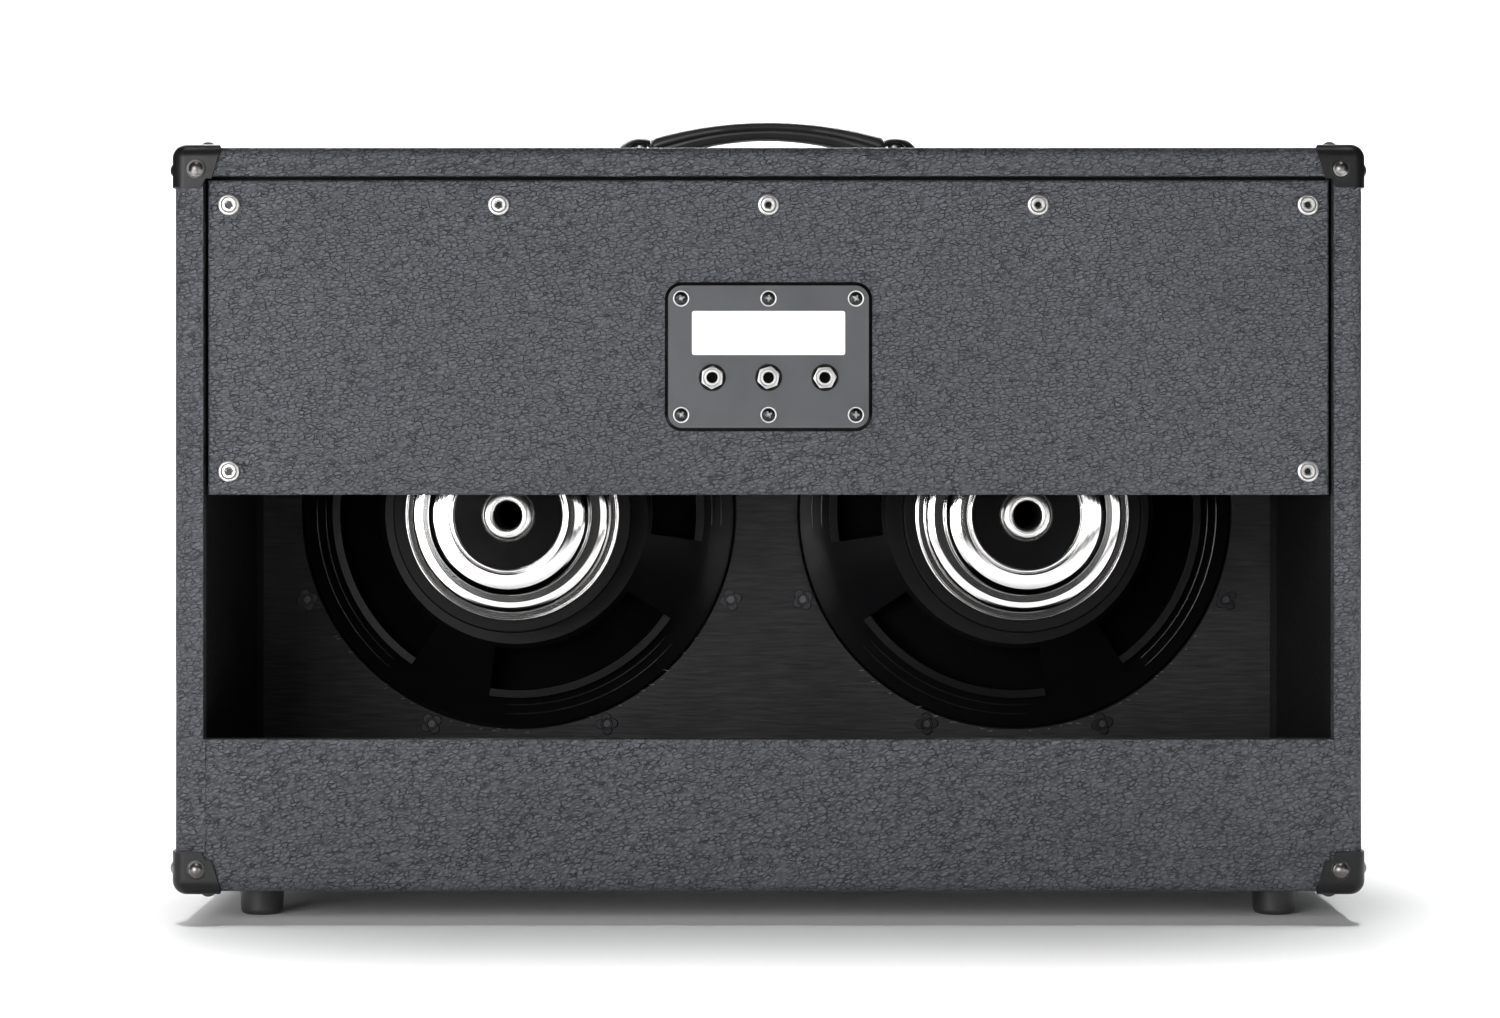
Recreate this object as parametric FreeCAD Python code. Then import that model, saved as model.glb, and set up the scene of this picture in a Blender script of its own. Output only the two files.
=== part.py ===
import FreeCAD, Part
import math
import os
from FreeCAD import Placement, Rotation, Vector

# Guitar speaker cabinet: an open-back plywood box with two 12-inch drivers.
# Millimetres. X runs across the cabinet, Y from the grille (negative) to the open rear (positive), Z up.
# The origin is on the floor under the middle of the cabinet. Left and right are as seen from the grille.

# Box, as wide as its two drivers and the margins beside them
CABINET_HEIGHT = 434.0
CABINET_DEPTH = 300.0
SIDE_MARGIN = 15.1
PANEL_THICKNESS = 15.0
COVERING_THICKNESS = 0.9
EDGE_RADIUS = 6.5
FINGER_COUNT = 9

# Baffle board, let into grooves in the four panels
BAFFLE_THICKNESS = 18.0
BAFFLE_SETBACK = 32.0
BAFFLE_GROOVE = 5.0
CUTOUT_CLEARANCE = 2.0
BEAD_SIZE = 4.0

# Back panels and the battens behind the upper one
BACK_THICKNESS = 12.0
UPPER_BACK_HEIGHT = 183.7
UPPER_BACK_RECESS = 4.0
UPPER_BACK_CLEARANCE = 2.2
UPPER_BACK_EDGE_RADIUS = 2.0
LOWER_BACK_HEIGHT = 88.9
SEAM_INSET = 18.6
SEAM_WIDTH = 0.8
SEAM_DEPTH = 0.45
CLEAT_WIDTH = 32.0
CLEAT_DEPTH = 18.0
BACK_SCREW_COLUMNS = 5
BACK_SCREW_SIDE_INSET = 12.4
BACK_SCREW_TOP_INSET = 14.4
BACK_SCREW_BOTTOM_INSET = 13.8
BACK_SCREW_RADIUS = 2.0
BACK_SCREW_LENGTH = 26.0
BACK_SCREW_HEAD_RADIUS = 4.0
CUP_WASHER_CLEARANCE = 0.6
CUP_WASHER_HEIGHT = 1.8
CUP_WASHER_RIM = 0.9
CUP_WASHER_FLARE = 0.9

# Grille
GRILLE_CLEARANCE = 1.5
GRILLE_RAIL_WIDTH = 22.0
GRILLE_FRAME_THICKNESS = 16.0
GRILLE_STILE_WIDTH = 18.0
GRILLE_CLOTH_THICKNESS = 0.8
GRILLE_DRIVER_CLEARANCE = 0.7
GRILLE_PAD_LENGTH = 40.0
GRILLE_PAD_WIDTH = 16.0
GRILLE_PAD_INSET = 70.0

# Corner protectors: width of each leg, how far it runs on past that along each edge, and the slant of its end
CORNER_THICKNESS = 1.8
CORNER_LEG_WIDTH = 18.5
CORNER_REACH_X = 8.9
CORNER_REACH_Y = 7.0
CORNER_REACH_Z = 5.1
CORNER_SLANT = 5.5
CORNER_SCREW_EDGE = 5.5
CORNER_SCREW_SHIFT = 5.0
CORNER_SCREW_HEAD_RADIUS = 4.5
CORNER_SCREW_HEAD_HEIGHT = 2.3
CORNER_SCREW_RADIUS = 1.4
CORNER_SCREW_GAP = 0.6

# Feet
FOOT_HEIGHT = 20.0
FOOT_RADIUS = 13.5
FOOT_TAPER = 1.0
FOOT_BEVEL = 2.2
FOOT_INSET_X = 43.0
FOOT_INSET_Y = 64.0
FOOT_RECESS_CLEARANCE = 1.1
FOOT_FLOOR = 6.0
FOOT_SCREW_RADIUS = 2.2
FOOT_SCREW_HEAD_RADIUS = 4.4
FOOT_SCREW_HEAD_HEIGHT = 2.4
FOOT_SCREW_LENGTH = 18.0

# Handle: a moulded strap on a steel strip, whose slotted tongues sit under two end caps
HANDLE_LENGTH = 144.4
HANDLE_RISE = 27.4
HANDLE_THICKNESS = 10.2
HANDLE_ARCH_RADIUS = 262.0
HANDLE_UNDERSIDE_RADIUS = 180.0
HANDLE_WIDTH = 27.0
HANDLE_UNDERSIDE_WIDTH = 18.0
HANDLE_CROWN = 4.5
HANDLE_SECTION_DEPTH = 16.0
HANDLE_END_CLEARANCE = 1.0
CORE_THICKNESS = 1.5
CORE_WIDTH = 12.0
CORE_COVER = 1.2
CORE_RAMP = 13.0
CAP_OFFSET = 6.8
CAP_RADIUS = 14.7
CAP_FLAT = 2.2
CAP_WALL = 1.8
CAP_FLOOR = 1.5
CAP_HEADROOM = 1.6
CAP_MOUTH = 0.5
CAP_BOSS_RADIUS = 5.6
CAP_BOSS_HEIGHT = 6.5
CAP_WINDOW_RADIUS = 8.0
CAP_WINDOW_HEIGHT = 6.0
TONGUE_TIP = 7.5
TONGUE_SLOT = 4.0
TONGUE_LIFT = 2.8
HANDLE_SCREW_RADIUS = 2.4
HANDLE_SCREW_CLEARANCE = 0.5
HANDLE_SCREW_HEAD_RADIUS = 4.4
HANDLE_SCREW_HEAD_HEIGHT = 2.8
HANDLE_SCREW_LENGTH = 12.0

# Jack plate and its three sockets
PLATE_THICKNESS = 2.6
PLATE_MARGIN = 15.5
PLATE_CORNER = 10.0
PLATE_BEVEL = 2.0
PLATE_DROP = 11.3
PLATE_SCREW_INSET = 9.6
PLATE_SCREW_RADIUS = 1.7
PLATE_SCREW_LENGTH = 12.0
PLATE_SCREW_HEAD_RADIUS = 3.9
PLATE_SCREW_HEAD_HEIGHT = 1.3
PLATE_SCREW_CLEARANCE = 0.3
PLATE_RING_WIDTH = 0.95
PLATE_RING_HEIGHT = 0.9
PLATE_CUTOUT_HEIGHT = 56.0
PLATE_CUTOUT_CLEARANCE = 2.2
PLATE_CUTOUT_CORNER = 6.0
JACK_SPACING = 32.8
JACK_DROP = 12.2
JACK_BORE_RADIUS = 3.25
JACK_BORE_DEPTH = 33.0
JACK_END_WALL = 3.4
JACK_BUSH_RADIUS = 4.75
JACK_BUSH_PROUD = 0.6
JACK_BODY_WIDTH = 20.0
JACK_WASHER_RADIUS = 7.9
JACK_WASHER_THICKNESS = 1.0
JACK_NUT_WIDTH = 12.2
JACK_NUT_THICKNESS = 2.2
JACK_NUT_TURNS = (4.0, 18.0, 27.0)

# Drivers: depths are measured from the baffle's front face towards the rear
FLANGE_RADIUS = 154.5
FLANGE_GAP = 12.0
FLANGE_WIDTH = 15.5
FLANGE_THICKNESS = 1.5
BASKET_SHEET = 1.3
BASKET_WALL_DEPTH = 15.0
RIDGE_WIDTH = 11.0
RIDGE_DEPTH = 19.0
SHOULDER_WIDTH = 10.0
SHOULDER_DEPTH = 25.0
WINDOW_REACH = 34.0
WINDOW_MARGIN = 3.0
WINDOW_RIM_WIDTH = 5.0
WINDOW_RIM_HEIGHT = 2.4
LEDGE_WIDTH = 10.0
LEDGE_DEPTH = 47.0
CUP_DEPTH = 62.0
CUP_BORE_RADIUS = 40.0
ARM_COUNT = 4
ARM_ANGLE = 26.0
ARM_START_LEFT = 67.5
ARM_START_RIGHT = 22.0
BOLT_COUNT = 8
BOLT_INSET = 6.0
BOLT_RADIUS = 2.4
BOLT_CLEARANCE = 0.3
BOLT_HEAD_WIDTH = 8.0
BOLT_HEAD_HEIGHT = 3.5
TEE_NUT_RADIUS = 7.4
TEE_NUT_WAIST = 4.6
TEE_NUT_THICKNESS = 1.3
TEE_NUT_BARREL_RADIUS = 3.6
TEE_NUT_BARREL_LENGTH = 9.0
GASKET_WIDTH = 5.5
GASKET_THICKNESS = 4.0
GASKET_CLEARANCE = 0.38
CONE_RIM_DEPTH = 2.0
CONE_THICKNESS = 0.9
EDGE_WIDTH = 14.0
EDGE_THICKNESS = 0.8
EDGE_FLAT_WIDTH = 4.5
EDGE_FLAT_RISE = 0.8
EDGE_RISE_WIDTH = 4.0
DUST_CAP_RADIUS = 34.0
DUST_CAP_CROWN_RADIUS = 20.0
DUST_CAP_HEIGHT = 9.0
DUST_CAP_THICKNESS = 0.8
COIL_RADIUS = 22.9
COIL_WALL = 1.3
COIL_NECK = 2.0
COIL_OVERHANG = 4.0
NECK_CLEARANCE = 3.0
SPIDER_INSET = 2.0
SPIDER_THICKNESS = 0.8
GAP_CLEARANCE = 0.7
TOP_PLATE_RADIUS = 70.0
TOP_PLATE_THICKNESS = 6.0
MAGNET_RADIUS = 75.0
MAGNET_BORE_RADIUS = 45.0
MAGNET_THICKNESS = 22.0
BACK_PLATE_CLEARANCE = 1.5
BACK_PLATE_THICKNESS = 8.0
POLE_PROUD = 2.0
VENT_RADIUS = 9.8
VENT_SPIGOT_RADIUS = 15.0
VENT_PROUD = 4.5
COVER_SHEET = 1.0
COVER_INSET = 8.0
COVER_FLANGE_WIDTH = 5.5
COVER_STEP_WIDTH = 11.5
COVER_STEP_HEIGHT = 16.5
COVER_STEP_ROUNDING = 4.5
COVER_DRUM_ROUNDING = 12.0
COVER_HEIGHT = 41.0
COVER_LIP_WIDTH = 3.0
COVER_RECESS = 4.0
COVER_CLEARANCE = 0.2
TERMINAL_WIDTH = 34.0
TERMINAL_HEIGHT = 16.0
TERMINAL_THICKNESS = 2.0
TERMINAL_SEAT = 0.05
TAG_SPACING = 18.0
TAG_WIDTH = 6.3
TAG_THICKNESS = 0.8
TAG_LENGTH = 9.0

# How far a cutting shape runs past the face that it opens
OVERCUT = 2.0

# Radii of a driver, from its flange inwards
wall_radius = FLANGE_RADIUS - FLANGE_WIDTH
ridge_radius = wall_radius - RIDGE_WIDTH
shoulder_radius = ridge_radius - SHOULDER_WIDTH
ledge_radius = shoulder_radius - WINDOW_REACH
cup_radius = ledge_radius - LEDGE_WIDTH
cutout_radius = wall_radius + CUTOUT_CLEARANCE
bolt_circle_radius = FLANGE_RADIUS - BOLT_INSET
gasket_outer = bolt_circle_radius - BOLT_HEAD_WIDTH / math.sqrt(3) - GASKET_CLEARANCE
gasket_inner = gasket_outer - GASKET_WIDTH
cone_radius = wall_radius - EDGE_WIDTH
spider_radius = ledge_radius - SPIDER_INSET
cover_flange_radius = MAGNET_RADIUS - COVER_INSET
cover_wall_radius = cover_flange_radius - COVER_FLANGE_WIDTH
cover_drum_radius = cover_wall_radius - COVER_STEP_WIDTH
cover_lip_radius = cover_drum_radius - COVER_DRUM_ROUNDING - COVER_LIP_WIDTH
back_plate_radius = cover_wall_radius - COVER_SHEET - BACK_PLATE_CLEARANCE
pole_radius = COIL_RADIUS - COIL_WALL - GAP_CLEARANCE

# Depths of a driver
edge_front = -FLANGE_THICKNESS - EDGE_THICKNESS
spider_rear = LEDGE_DEPTH - BASKET_SHEET
neck_depth = spider_rear - SPIDER_THICKNESS - NECK_CLEARANCE - CONE_THICKNESS
magnet_front = CUP_DEPTH + TOP_PLATE_THICKNESS
magnet_rear = magnet_front + MAGNET_THICKNESS
coil_end = magnet_front + COIL_OVERHANG

# Drivers side by side
driver_spacing = 2 * FLANGE_RADIUS + FLANGE_GAP
CABINET_WIDTH = driver_spacing + 2 * (FLANGE_RADIUS + SIDE_MARGIN + PANEL_THICKNESS + COVERING_THICKNESS)

# Planes of the box
half_width = CABINET_WIDTH / 2
half_depth = CABINET_DEPTH / 2
floor_z = FOOT_HEIGHT
top_z = floor_z + CABINET_HEIGHT
wood_x = half_width - COVERING_THICKNESS
wood_y = half_depth - COVERING_THICKNESS
wood_low = floor_z + COVERING_THICKNESS
wood_high = top_z - COVERING_THICKNESS
inner_x = wood_x - PANEL_THICKNESS
inner_low = wood_low + PANEL_THICKNESS
inner_high = wood_high - PANEL_THICKNESS
lined_x = inner_x - COVERING_THICKNESS
lined_low = inner_low + COVERING_THICKNESS
lined_high = inner_high - COVERING_THICKNESS
baffle_front = BAFFLE_SETBACK - half_depth
baffle_rear = baffle_front + BAFFLE_THICKNESS

# Planes of the back panels
lower_top = floor_z + LOWER_BACK_HEIGHT
lower_front = wood_y - BACK_THICKNESS
upper_x = lined_x - UPPER_BACK_CLEARANCE
upper_high = lined_high - UPPER_BACK_CLEARANCE
upper_low = upper_high - UPPER_BACK_HEIGHT
upper_rear = half_depth - UPPER_BACK_RECESS
upper_wood_rear = upper_rear - COVERING_THICKNESS
upper_front = upper_wood_rear - BACK_THICKNESS

# Centre height of the drivers, and planes of the jack plate and its sockets
driver_z = (floor_z + top_z) / 2
plate_z = (upper_low + upper_high) / 2 - PLATE_DROP
plate_rear = upper_rear + PLATE_THICKNESS
plate_cutout_width = 2 * (JACK_SPACING + JACK_BODY_WIDTH / 2 + PLATE_CUTOUT_CLEARANCE)
plate_width = plate_cutout_width + 2 * PLATE_MARGIN
plate_height = PLATE_CUTOUT_HEIGHT + 2 * PLATE_MARGIN
washer_rear = plate_rear + JACK_WASHER_THICKNESS
nut_rear = washer_rear + JACK_NUT_THICKNESS
jack_mouth = nut_rear + JACK_BUSH_PROUD
jack_front = jack_mouth - JACK_BORE_DEPTH - JACK_END_WALL

# Handle: height of its underside, and places of its caps
grip_height = HANDLE_RISE - HANDLE_THICKNESS
cap_x = HANDLE_LENGTH / 2 + CAP_OFFSET
screw_seat = CAP_BOSS_HEIGHT + CORE_THICKNESS + TONGUE_LIFT
cap_height = screw_seat + HANDLE_SCREW_HEAD_HEIGHT + CAP_HEADROOM + CAP_WALL

# Holes through the upper back panel for its screws
back_hole_radius = BACK_SCREW_RADIUS + CUP_WASHER_CLEARANCE

X_AXIS = Vector(1, 0, 0)
Y_AXIS = Vector(0, 1, 0)
Z_AXIS = Vector(0, 0, 1)
FULL_TURN = 360.0
QUARTER_TURN = FULL_TURN / 4
SIDES = (-1, 1)


def save(node, shapes):
    """Writes one node, made of one solid or of several separate ones."""
    shape = shapes[0] if len(shapes) == 1 else Part.makeCompound(shapes)
    shape.exportStep(os.path.join("parts", node + ".step"))


def block(x, y, z):
    """Box between three pairs of planes."""
    return Part.makeBox(x[1] - x[0], y[1] - y[0], z[1] - z[0], Vector(x[0], y[0], z[0]))


def rounded_block(x, y, z, radius):
    """Box with all its edges rounded."""
    shape = block(x, y, z)
    return shape.makeFillet(radius, shape.Edges)


def edges_along(shape, axis):
    """Straight edges parallel to an axis."""
    found = []
    for edge in shape.Edges:
        run = edge.Vertexes[-1].Point - edge.Vertexes[0].Point
        if run.Length > 0 and run.cross(axis).Length < 1e-6 * run.Length:
            found.append(edge)
    return found


def edges_at_y(shape, y):
    """Edges that lie in one plane across the depth."""
    return [e for e in shape.Edges if abs(e.BoundBox.YMin - y) + abs(e.BoundBox.YMax - y) < 1e-3]


def joined(shapes):
    """One solid from solids that meet."""
    return shapes[0].multiFuse(shapes[1:]).removeSplitter()


def arc_point(centre, radius, degrees):
    """Point of a round stretch of a profile."""
    angle = math.radians(degrees)
    return (centre[0] + radius * math.cos(angle), centre[1] + radius * math.sin(angle))


def profile_face(items, to_vector):
    """Closed face from profile points; a pair of points is the middle and the end of an arc."""
    start = items[0]
    edges = []
    for item in list(items[1:]) + [start]:
        if isinstance(item[0], tuple):
            middle, end = item
            edges.append(Part.Arc(to_vector(start), to_vector(middle), to_vector(end)).toShape())
            start = end
        else:
            edges.append(Part.LineSegment(to_vector(start), to_vector(item)).toShape())
            start = item
    return Part.Face(Part.Wire(edges))


def turned(items, base, axis):
    """Solid of revolution from (radius, height) points, standing on a base along an axis."""
    solid = profile_face(items, lambda p: Vector(p[0], 0, p[1])).revolve(Vector(), Z_AXIS, FULL_TURN)
    solid.Placement = Placement(base, Rotation(Z_AXIS, axis))
    return solid


def cylinder(radius, length, base, axis):
    return Part.makeCylinder(radius, length, base, axis)


def screw(base, axis, length, head):
    """Wood screw: a plain shank runs back from its base, and the head profile stands on it."""
    shank = head[0][0]
    return turned([(0, -length), (shank, -length)] + head, base, axis)


def raised_head(shank_radius, radius, height):
    """Profile of a raised screw head, with a flat top as wide as the shank."""
    return [(shank_radius, 0), (radius, 0), (shank_radius, height), (0, height)]


def mirrored_corners():
    """Signs of the eight corners of the box."""
    return [(sx, sy, sz) for sx in SIDES for sy in SIDES for sz in SIDES]


# Box


def carcass_blank():
    """The glued-up box without its cavity, with rounded edges."""
    radius = EDGE_RADIUS - COVERING_THICKNESS
    return rounded_block((-wood_x, wood_x), (-wood_y, wood_y), (wood_low, wood_high), radius)


def baffle_blank():
    groove_x = inner_x + BAFFLE_GROOVE
    height = (inner_low - BAFFLE_GROOVE, inner_high + BAFFLE_GROOVE)
    return block((-groove_x, groove_x), (baffle_front, baffle_rear), height)


def finger_slots(parity):
    """Depth ranges of every second finger along a corner joint."""
    pitch = 2 * wood_y / FINGER_COUNT
    starts = [i * pitch - wood_y for i in range(FINGER_COUNT) if i % 2 == parity]
    return [(start, start + pitch) for start in starts]


def box_panels():
    """Top, bottom and sides, with fingers that interlock along the four edges."""
    depth = (-wood_y, wood_y)
    cavity = block((-inner_x, inner_x), (-half_depth, half_depth), (inner_low, inner_high))
    walls = carcass_blank().cut(cavity).cut(baffle_blank())
    panels = {}
    for node, height in (("top_panel", (inner_high, wood_high)), ("bottom_panel", (wood_low, inner_low))):
        region = [block((-inner_x, inner_x), depth, height)]
        region += [block((-wood_x, wood_x), slot, height) for slot in finger_slots(0)]
        panels[node] = walls.common(joined(region))
    for node, width in (("left_side_panel", (-wood_x, -inner_x)), ("right_side_panel", (inner_x, wood_x))):
        region = [block(width, depth, (inner_low, inner_high))]
        region += [block(width, slot, (wood_low, wood_high)) for slot in finger_slots(1)]
        panels[node] = walls.common(joined(region))
    return panels


def lip(y, low):
    """Covering turned in round an opening of the box."""
    outer = block((-inner_x, inner_x), y, (low - COVERING_THICKNESS, inner_high))
    return outer.cut(block((-lined_x, lined_x), y, (low, lined_high)))


def cabinet_covering():
    """One skin over the box and the lower back panel, turned in at the front and at the rear."""
    skin = rounded_block(
        (-half_width, half_width), (-half_depth, half_depth), (floor_z, top_z), EDGE_RADIUS
    ).cut(carcass_blank())
    width = (-lined_x, lined_x)
    skin = skin.cut(block(width, (-half_depth - OVERCUT, 0), (lined_low, lined_high)))
    skin = skin.cut(block(width, (0, half_depth + OVERCUT), (lower_top, lined_high)))
    skin = joined([skin, lip((-wood_y, baffle_front), lined_low), lip((lower_front, wood_y), lower_top)])
    for side in SIDES:
        seam_x = side * (half_width - SEAM_INSET)
        seam = (seam_x - SEAM_WIDTH / 2, seam_x + SEAM_WIDTH / 2)
        skin = skin.cut(block(seam, (half_depth - SEAM_DEPTH, half_depth + OVERCUT), (floor_z, lower_top)))
    return skin


def driver_x(side):
    return side * driver_spacing / 2


def bolt_places():
    """Centres of the bolts of both drivers, in the plane of the baffle."""
    places = []
    for side in SIDES:
        for i in range(BOLT_COUNT):
            angle = (i + 0.5) * FULL_TURN / BOLT_COUNT
            places.append(arc_point((driver_x(side), driver_z), bolt_circle_radius, angle))
    return places


def baffle_board():
    board = baffle_blank()
    for side in SIDES:
        mouth = Vector(driver_x(side), baffle_front - OVERCUT, driver_z)
        board = board.cut(cylinder(cutout_radius, BAFFLE_THICKNESS + 2 * OVERCUT, mouth, Y_AXIS))
    holes = [
        cylinder(TEE_NUT_BARREL_RADIUS, BAFFLE_THICKNESS + 2 * OVERCUT,
                 Vector(x, baffle_front - OVERCUT, z), Y_AXIS)
        for x, z in bolt_places()
    ]
    return board.cut(Part.makeCompound(holes))


def baffle_edge_beads():
    """Triangular sealing beads behind the baffle, one in each corner with a side panel."""
    beads = []
    for side in SIDES:
        corners = [(inner_x, 0), (inner_x - BEAD_SIZE, 0), (inner_x, BEAD_SIZE)]
        points = [Vector(side * x, baffle_rear + y, inner_low) for x, y in corners]
        face = Part.Face(Part.makePolygon(points + points[:1]))
        beads.append(face.extrude(Vector(0, 0, inner_high - inner_low)))
    return beads


# Back panels


def back_screw_places():
    """Five screws along the upper edge of the upper back panel and one in each lower corner."""
    edge_x = upper_x - BACK_SCREW_SIDE_INSET
    pitch = 2 * edge_x / (BACK_SCREW_COLUMNS - 1)
    places = [(i * pitch - edge_x, upper_high - BACK_SCREW_TOP_INSET) for i in range(BACK_SCREW_COLUMNS)]
    return places + [(side * edge_x, upper_low + BACK_SCREW_BOTTOM_INSET) for side in SIDES]


def plate_cutout():
    """Opening in the upper back panel behind the jack plate."""
    half_x = plate_cutout_width / 2
    half_z = PLATE_CUTOUT_HEIGHT / 2
    depth = (upper_front - OVERCUT, upper_rear + OVERCUT)
    opening = block((-half_x, half_x), depth, (plate_z - half_z, plate_z + half_z))
    return opening.makeFillet(PLATE_CUTOUT_CORNER, edges_along(opening, Y_AXIS))


def upper_back():
    """Removable panel and its covering, which wraps the face and the four edges."""
    outer = block((-upper_x, upper_x), (upper_front, upper_rear), (upper_low, upper_high))
    outer = outer.makeFillet(UPPER_BACK_EDGE_RADIUS, edges_at_y(outer, upper_rear))
    wood = block(
        (COVERING_THICKNESS - upper_x, upper_x - COVERING_THICKNESS), (upper_front, upper_wood_rear),
        (upper_low + COVERING_THICKNESS, upper_high - COVERING_THICKNESS)
    )
    rounding = UPPER_BACK_EDGE_RADIUS - COVERING_THICKNESS
    wood = wood.makeFillet(rounding, edges_at_y(wood, upper_wood_rear))
    openings = [plate_cutout()]
    for x, z in back_screw_places():
        mouth = Vector(x, upper_front - OVERCUT, z)
        length = upper_rear - upper_front + 2 * OVERCUT
        openings.append(cylinder(back_hole_radius, length, mouth, Y_AXIS))
    return wood.cut(openings), outer.cut(wood).cut(openings)


def lower_back_panel():
    return block((-inner_x, inner_x), (lower_front, wood_y), (inner_low, lower_top - COVERING_THICKNESS))


def back_panel_cleats():
    """Battens along the top and down both sides, behind the upper back panel."""
    depth = (upper_front - CLEAT_DEPTH, upper_front)
    cleats = [block((-inner_x, inner_x), depth, (inner_high - CLEAT_WIDTH, inner_high))]
    for low, high in ((-inner_x, CLEAT_WIDTH - inner_x), (inner_x - CLEAT_WIDTH, inner_x)):
        cleats.append(block((low, high), depth, (upper_low, inner_high - CLEAT_WIDTH)))
    return cleats


def back_panel_fasteners():
    """Countersunk screws, each in a raised cup washer."""
    mouth = back_hole_radius + CUP_WASHER_HEIGHT
    top = mouth + CUP_WASHER_RIM
    foot = top + CUP_WASHER_FLARE
    ring = [(back_hole_radius, 0), (foot, 0), (top, CUP_WASHER_HEIGHT), (mouth, CUP_WASHER_HEIGHT)]
    rise = BACK_SCREW_HEAD_RADIUS - BACK_SCREW_RADIUS
    head_top = CUP_WASHER_HEIGHT - (mouth - BACK_SCREW_HEAD_RADIUS)
    head = [(BACK_SCREW_RADIUS, head_top - rise), (BACK_SCREW_HEAD_RADIUS, head_top), (0, head_top)]
    screws, washers = [], []
    for x, z in back_screw_places():
        base = Vector(x, upper_rear, z)
        screws.append(screw(base, Y_AXIS, BACK_SCREW_LENGTH, head))
        washers.append(turned(ring, base, Y_AXIS))
    return screws, washers


# Grille


def grille():
    """Rails, middle stile, cloth wrapped over the front and edges, and fixing pads on the baffle."""
    cloth_x = lined_x - GRILLE_CLEARANCE
    cloth_low = lined_low + GRILLE_CLEARANCE
    cloth_high = lined_high - GRILLE_CLEARANCE
    frame_x = cloth_x - GRILLE_CLOTH_THICKNESS
    low = cloth_low + GRILLE_CLOTH_THICKNESS
    high = cloth_high - GRILLE_CLOTH_THICKNESS
    rear = baffle_front + edge_front - GASKET_THICKNESS - GRILLE_DRIVER_CLEARANCE
    front = rear - GRILLE_FRAME_THICKNESS
    depth = (front, rear)
    inner_rails = (low + GRILLE_RAIL_WIDTH, high - GRILLE_RAIL_WIDTH)
    frame = [block((-frame_x, frame_x), depth, (low, low + GRILLE_RAIL_WIDTH))]
    frame.append(block((-frame_x, frame_x), depth, (high - GRILLE_RAIL_WIDTH, high)))
    frame.append(block((-frame_x, GRILLE_RAIL_WIDTH - frame_x), depth, inner_rails))
    frame.append(block((frame_x - GRILLE_RAIL_WIDTH, frame_x), depth, inner_rails))
    stile = GRILLE_STILE_WIDTH / 2
    frame.append(block((-stile, stile), depth, inner_rails))
    face = front - GRILLE_CLOTH_THICKNESS
    cloth = block((-cloth_x, cloth_x), (face, rear), (cloth_low, cloth_high))
    cloth = cloth.cut(block((-frame_x, frame_x), depth, (low, high)))
    pads = []
    pad_x = frame_x - GRILLE_PAD_INSET
    for z in (low + GRILLE_RAIL_WIDTH / 2, high - GRILLE_RAIL_WIDTH / 2):
        for x in (-pad_x, 0, pad_x):
            width = (x - GRILLE_PAD_LENGTH / 2, x + GRILLE_PAD_LENGTH / 2)
            pads.append(block(width, (rear, baffle_front), (z - GRILLE_PAD_WIDTH / 2, z + GRILLE_PAD_WIDTH / 2)))
    return frame, cloth, pads


# Corner protectors and feet


def corner_outline(length_a, length_b):
    """L-shaped outline of one face of a corner protector, from the corner of the box."""
    start = -CORNER_THICKNESS - OVERCUT
    return [
        (start, start), (length_a, start), (length_a, 0),
        (length_a - CORNER_SLANT, CORNER_LEG_WIDTH), (CORNER_LEG_WIDTH, CORNER_LEG_WIDTH),
        (CORNER_LEG_WIDTH - CORNER_SLANT / 2, length_b), (start, length_b)
    ]


def corner_protector():
    """Protector for the rear upper right corner: a thin shell trimmed to an L on each of three faces."""
    length_x = CORNER_LEG_WIDTH + CORNER_REACH_X
    length_y = CORNER_LEG_WIDTH + CORNER_REACH_Y
    length_z = CORNER_LEG_WIDTH + CORNER_REACH_Z
    reach = length_x + length_y + length_z
    corner = Vector(half_width, half_depth, top_z)

    def rounded_corner(offset):
        high = corner + Vector(offset, offset, offset)
        low = corner - Vector(reach, reach, reach)
        shape = block((low.x, high.x), (low.y, high.y), (low.z, high.z))
        edges = [e for e in shape.Edges if any(v.Point.isEqual(high, 1e-6) for v in e.Vertexes)]
        return shape.makeFillet(EDGE_RADIUS + offset, edges)

    shell = rounded_corner(CORNER_THICKNESS).cut(rounded_corner(0))
    faces = (
        (length_x, length_z, lambda p: corner - Vector(p[0], -OVERCUT - CORNER_THICKNESS, p[1])),
        (length_x, length_y, lambda p: corner - Vector(p[0], p[1], -OVERCUT - CORNER_THICKNESS)),
        (length_y, length_z, lambda p: corner - Vector(-OVERCUT - CORNER_THICKNESS, p[0], p[1])),
    )
    for (length_a, length_b, to_vector), inward in zip(faces, (-Y_AXIS, -Z_AXIS, -X_AXIS)):
        outline = profile_face(corner_outline(length_a, length_b), to_vector)
        shell = shell.common(outline.extrude(inward * (reach + CORNER_THICKNESS + OVERCUT)))
    return shell


def corner_protectors():
    shapes = []
    for sx, sy, sz in mirrored_corners():
        shape = corner_protector()
        if sx < 0:
            shape = shape.mirror(Vector(), X_AXIS)
        if sy < 0:
            shape = shape.mirror(Vector(), Y_AXIS)
        if sz < 0:
            shape = shape.mirror(Vector(0, 0, driver_z), Z_AXIS)
        shapes.append(shape)
    return shapes


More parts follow.
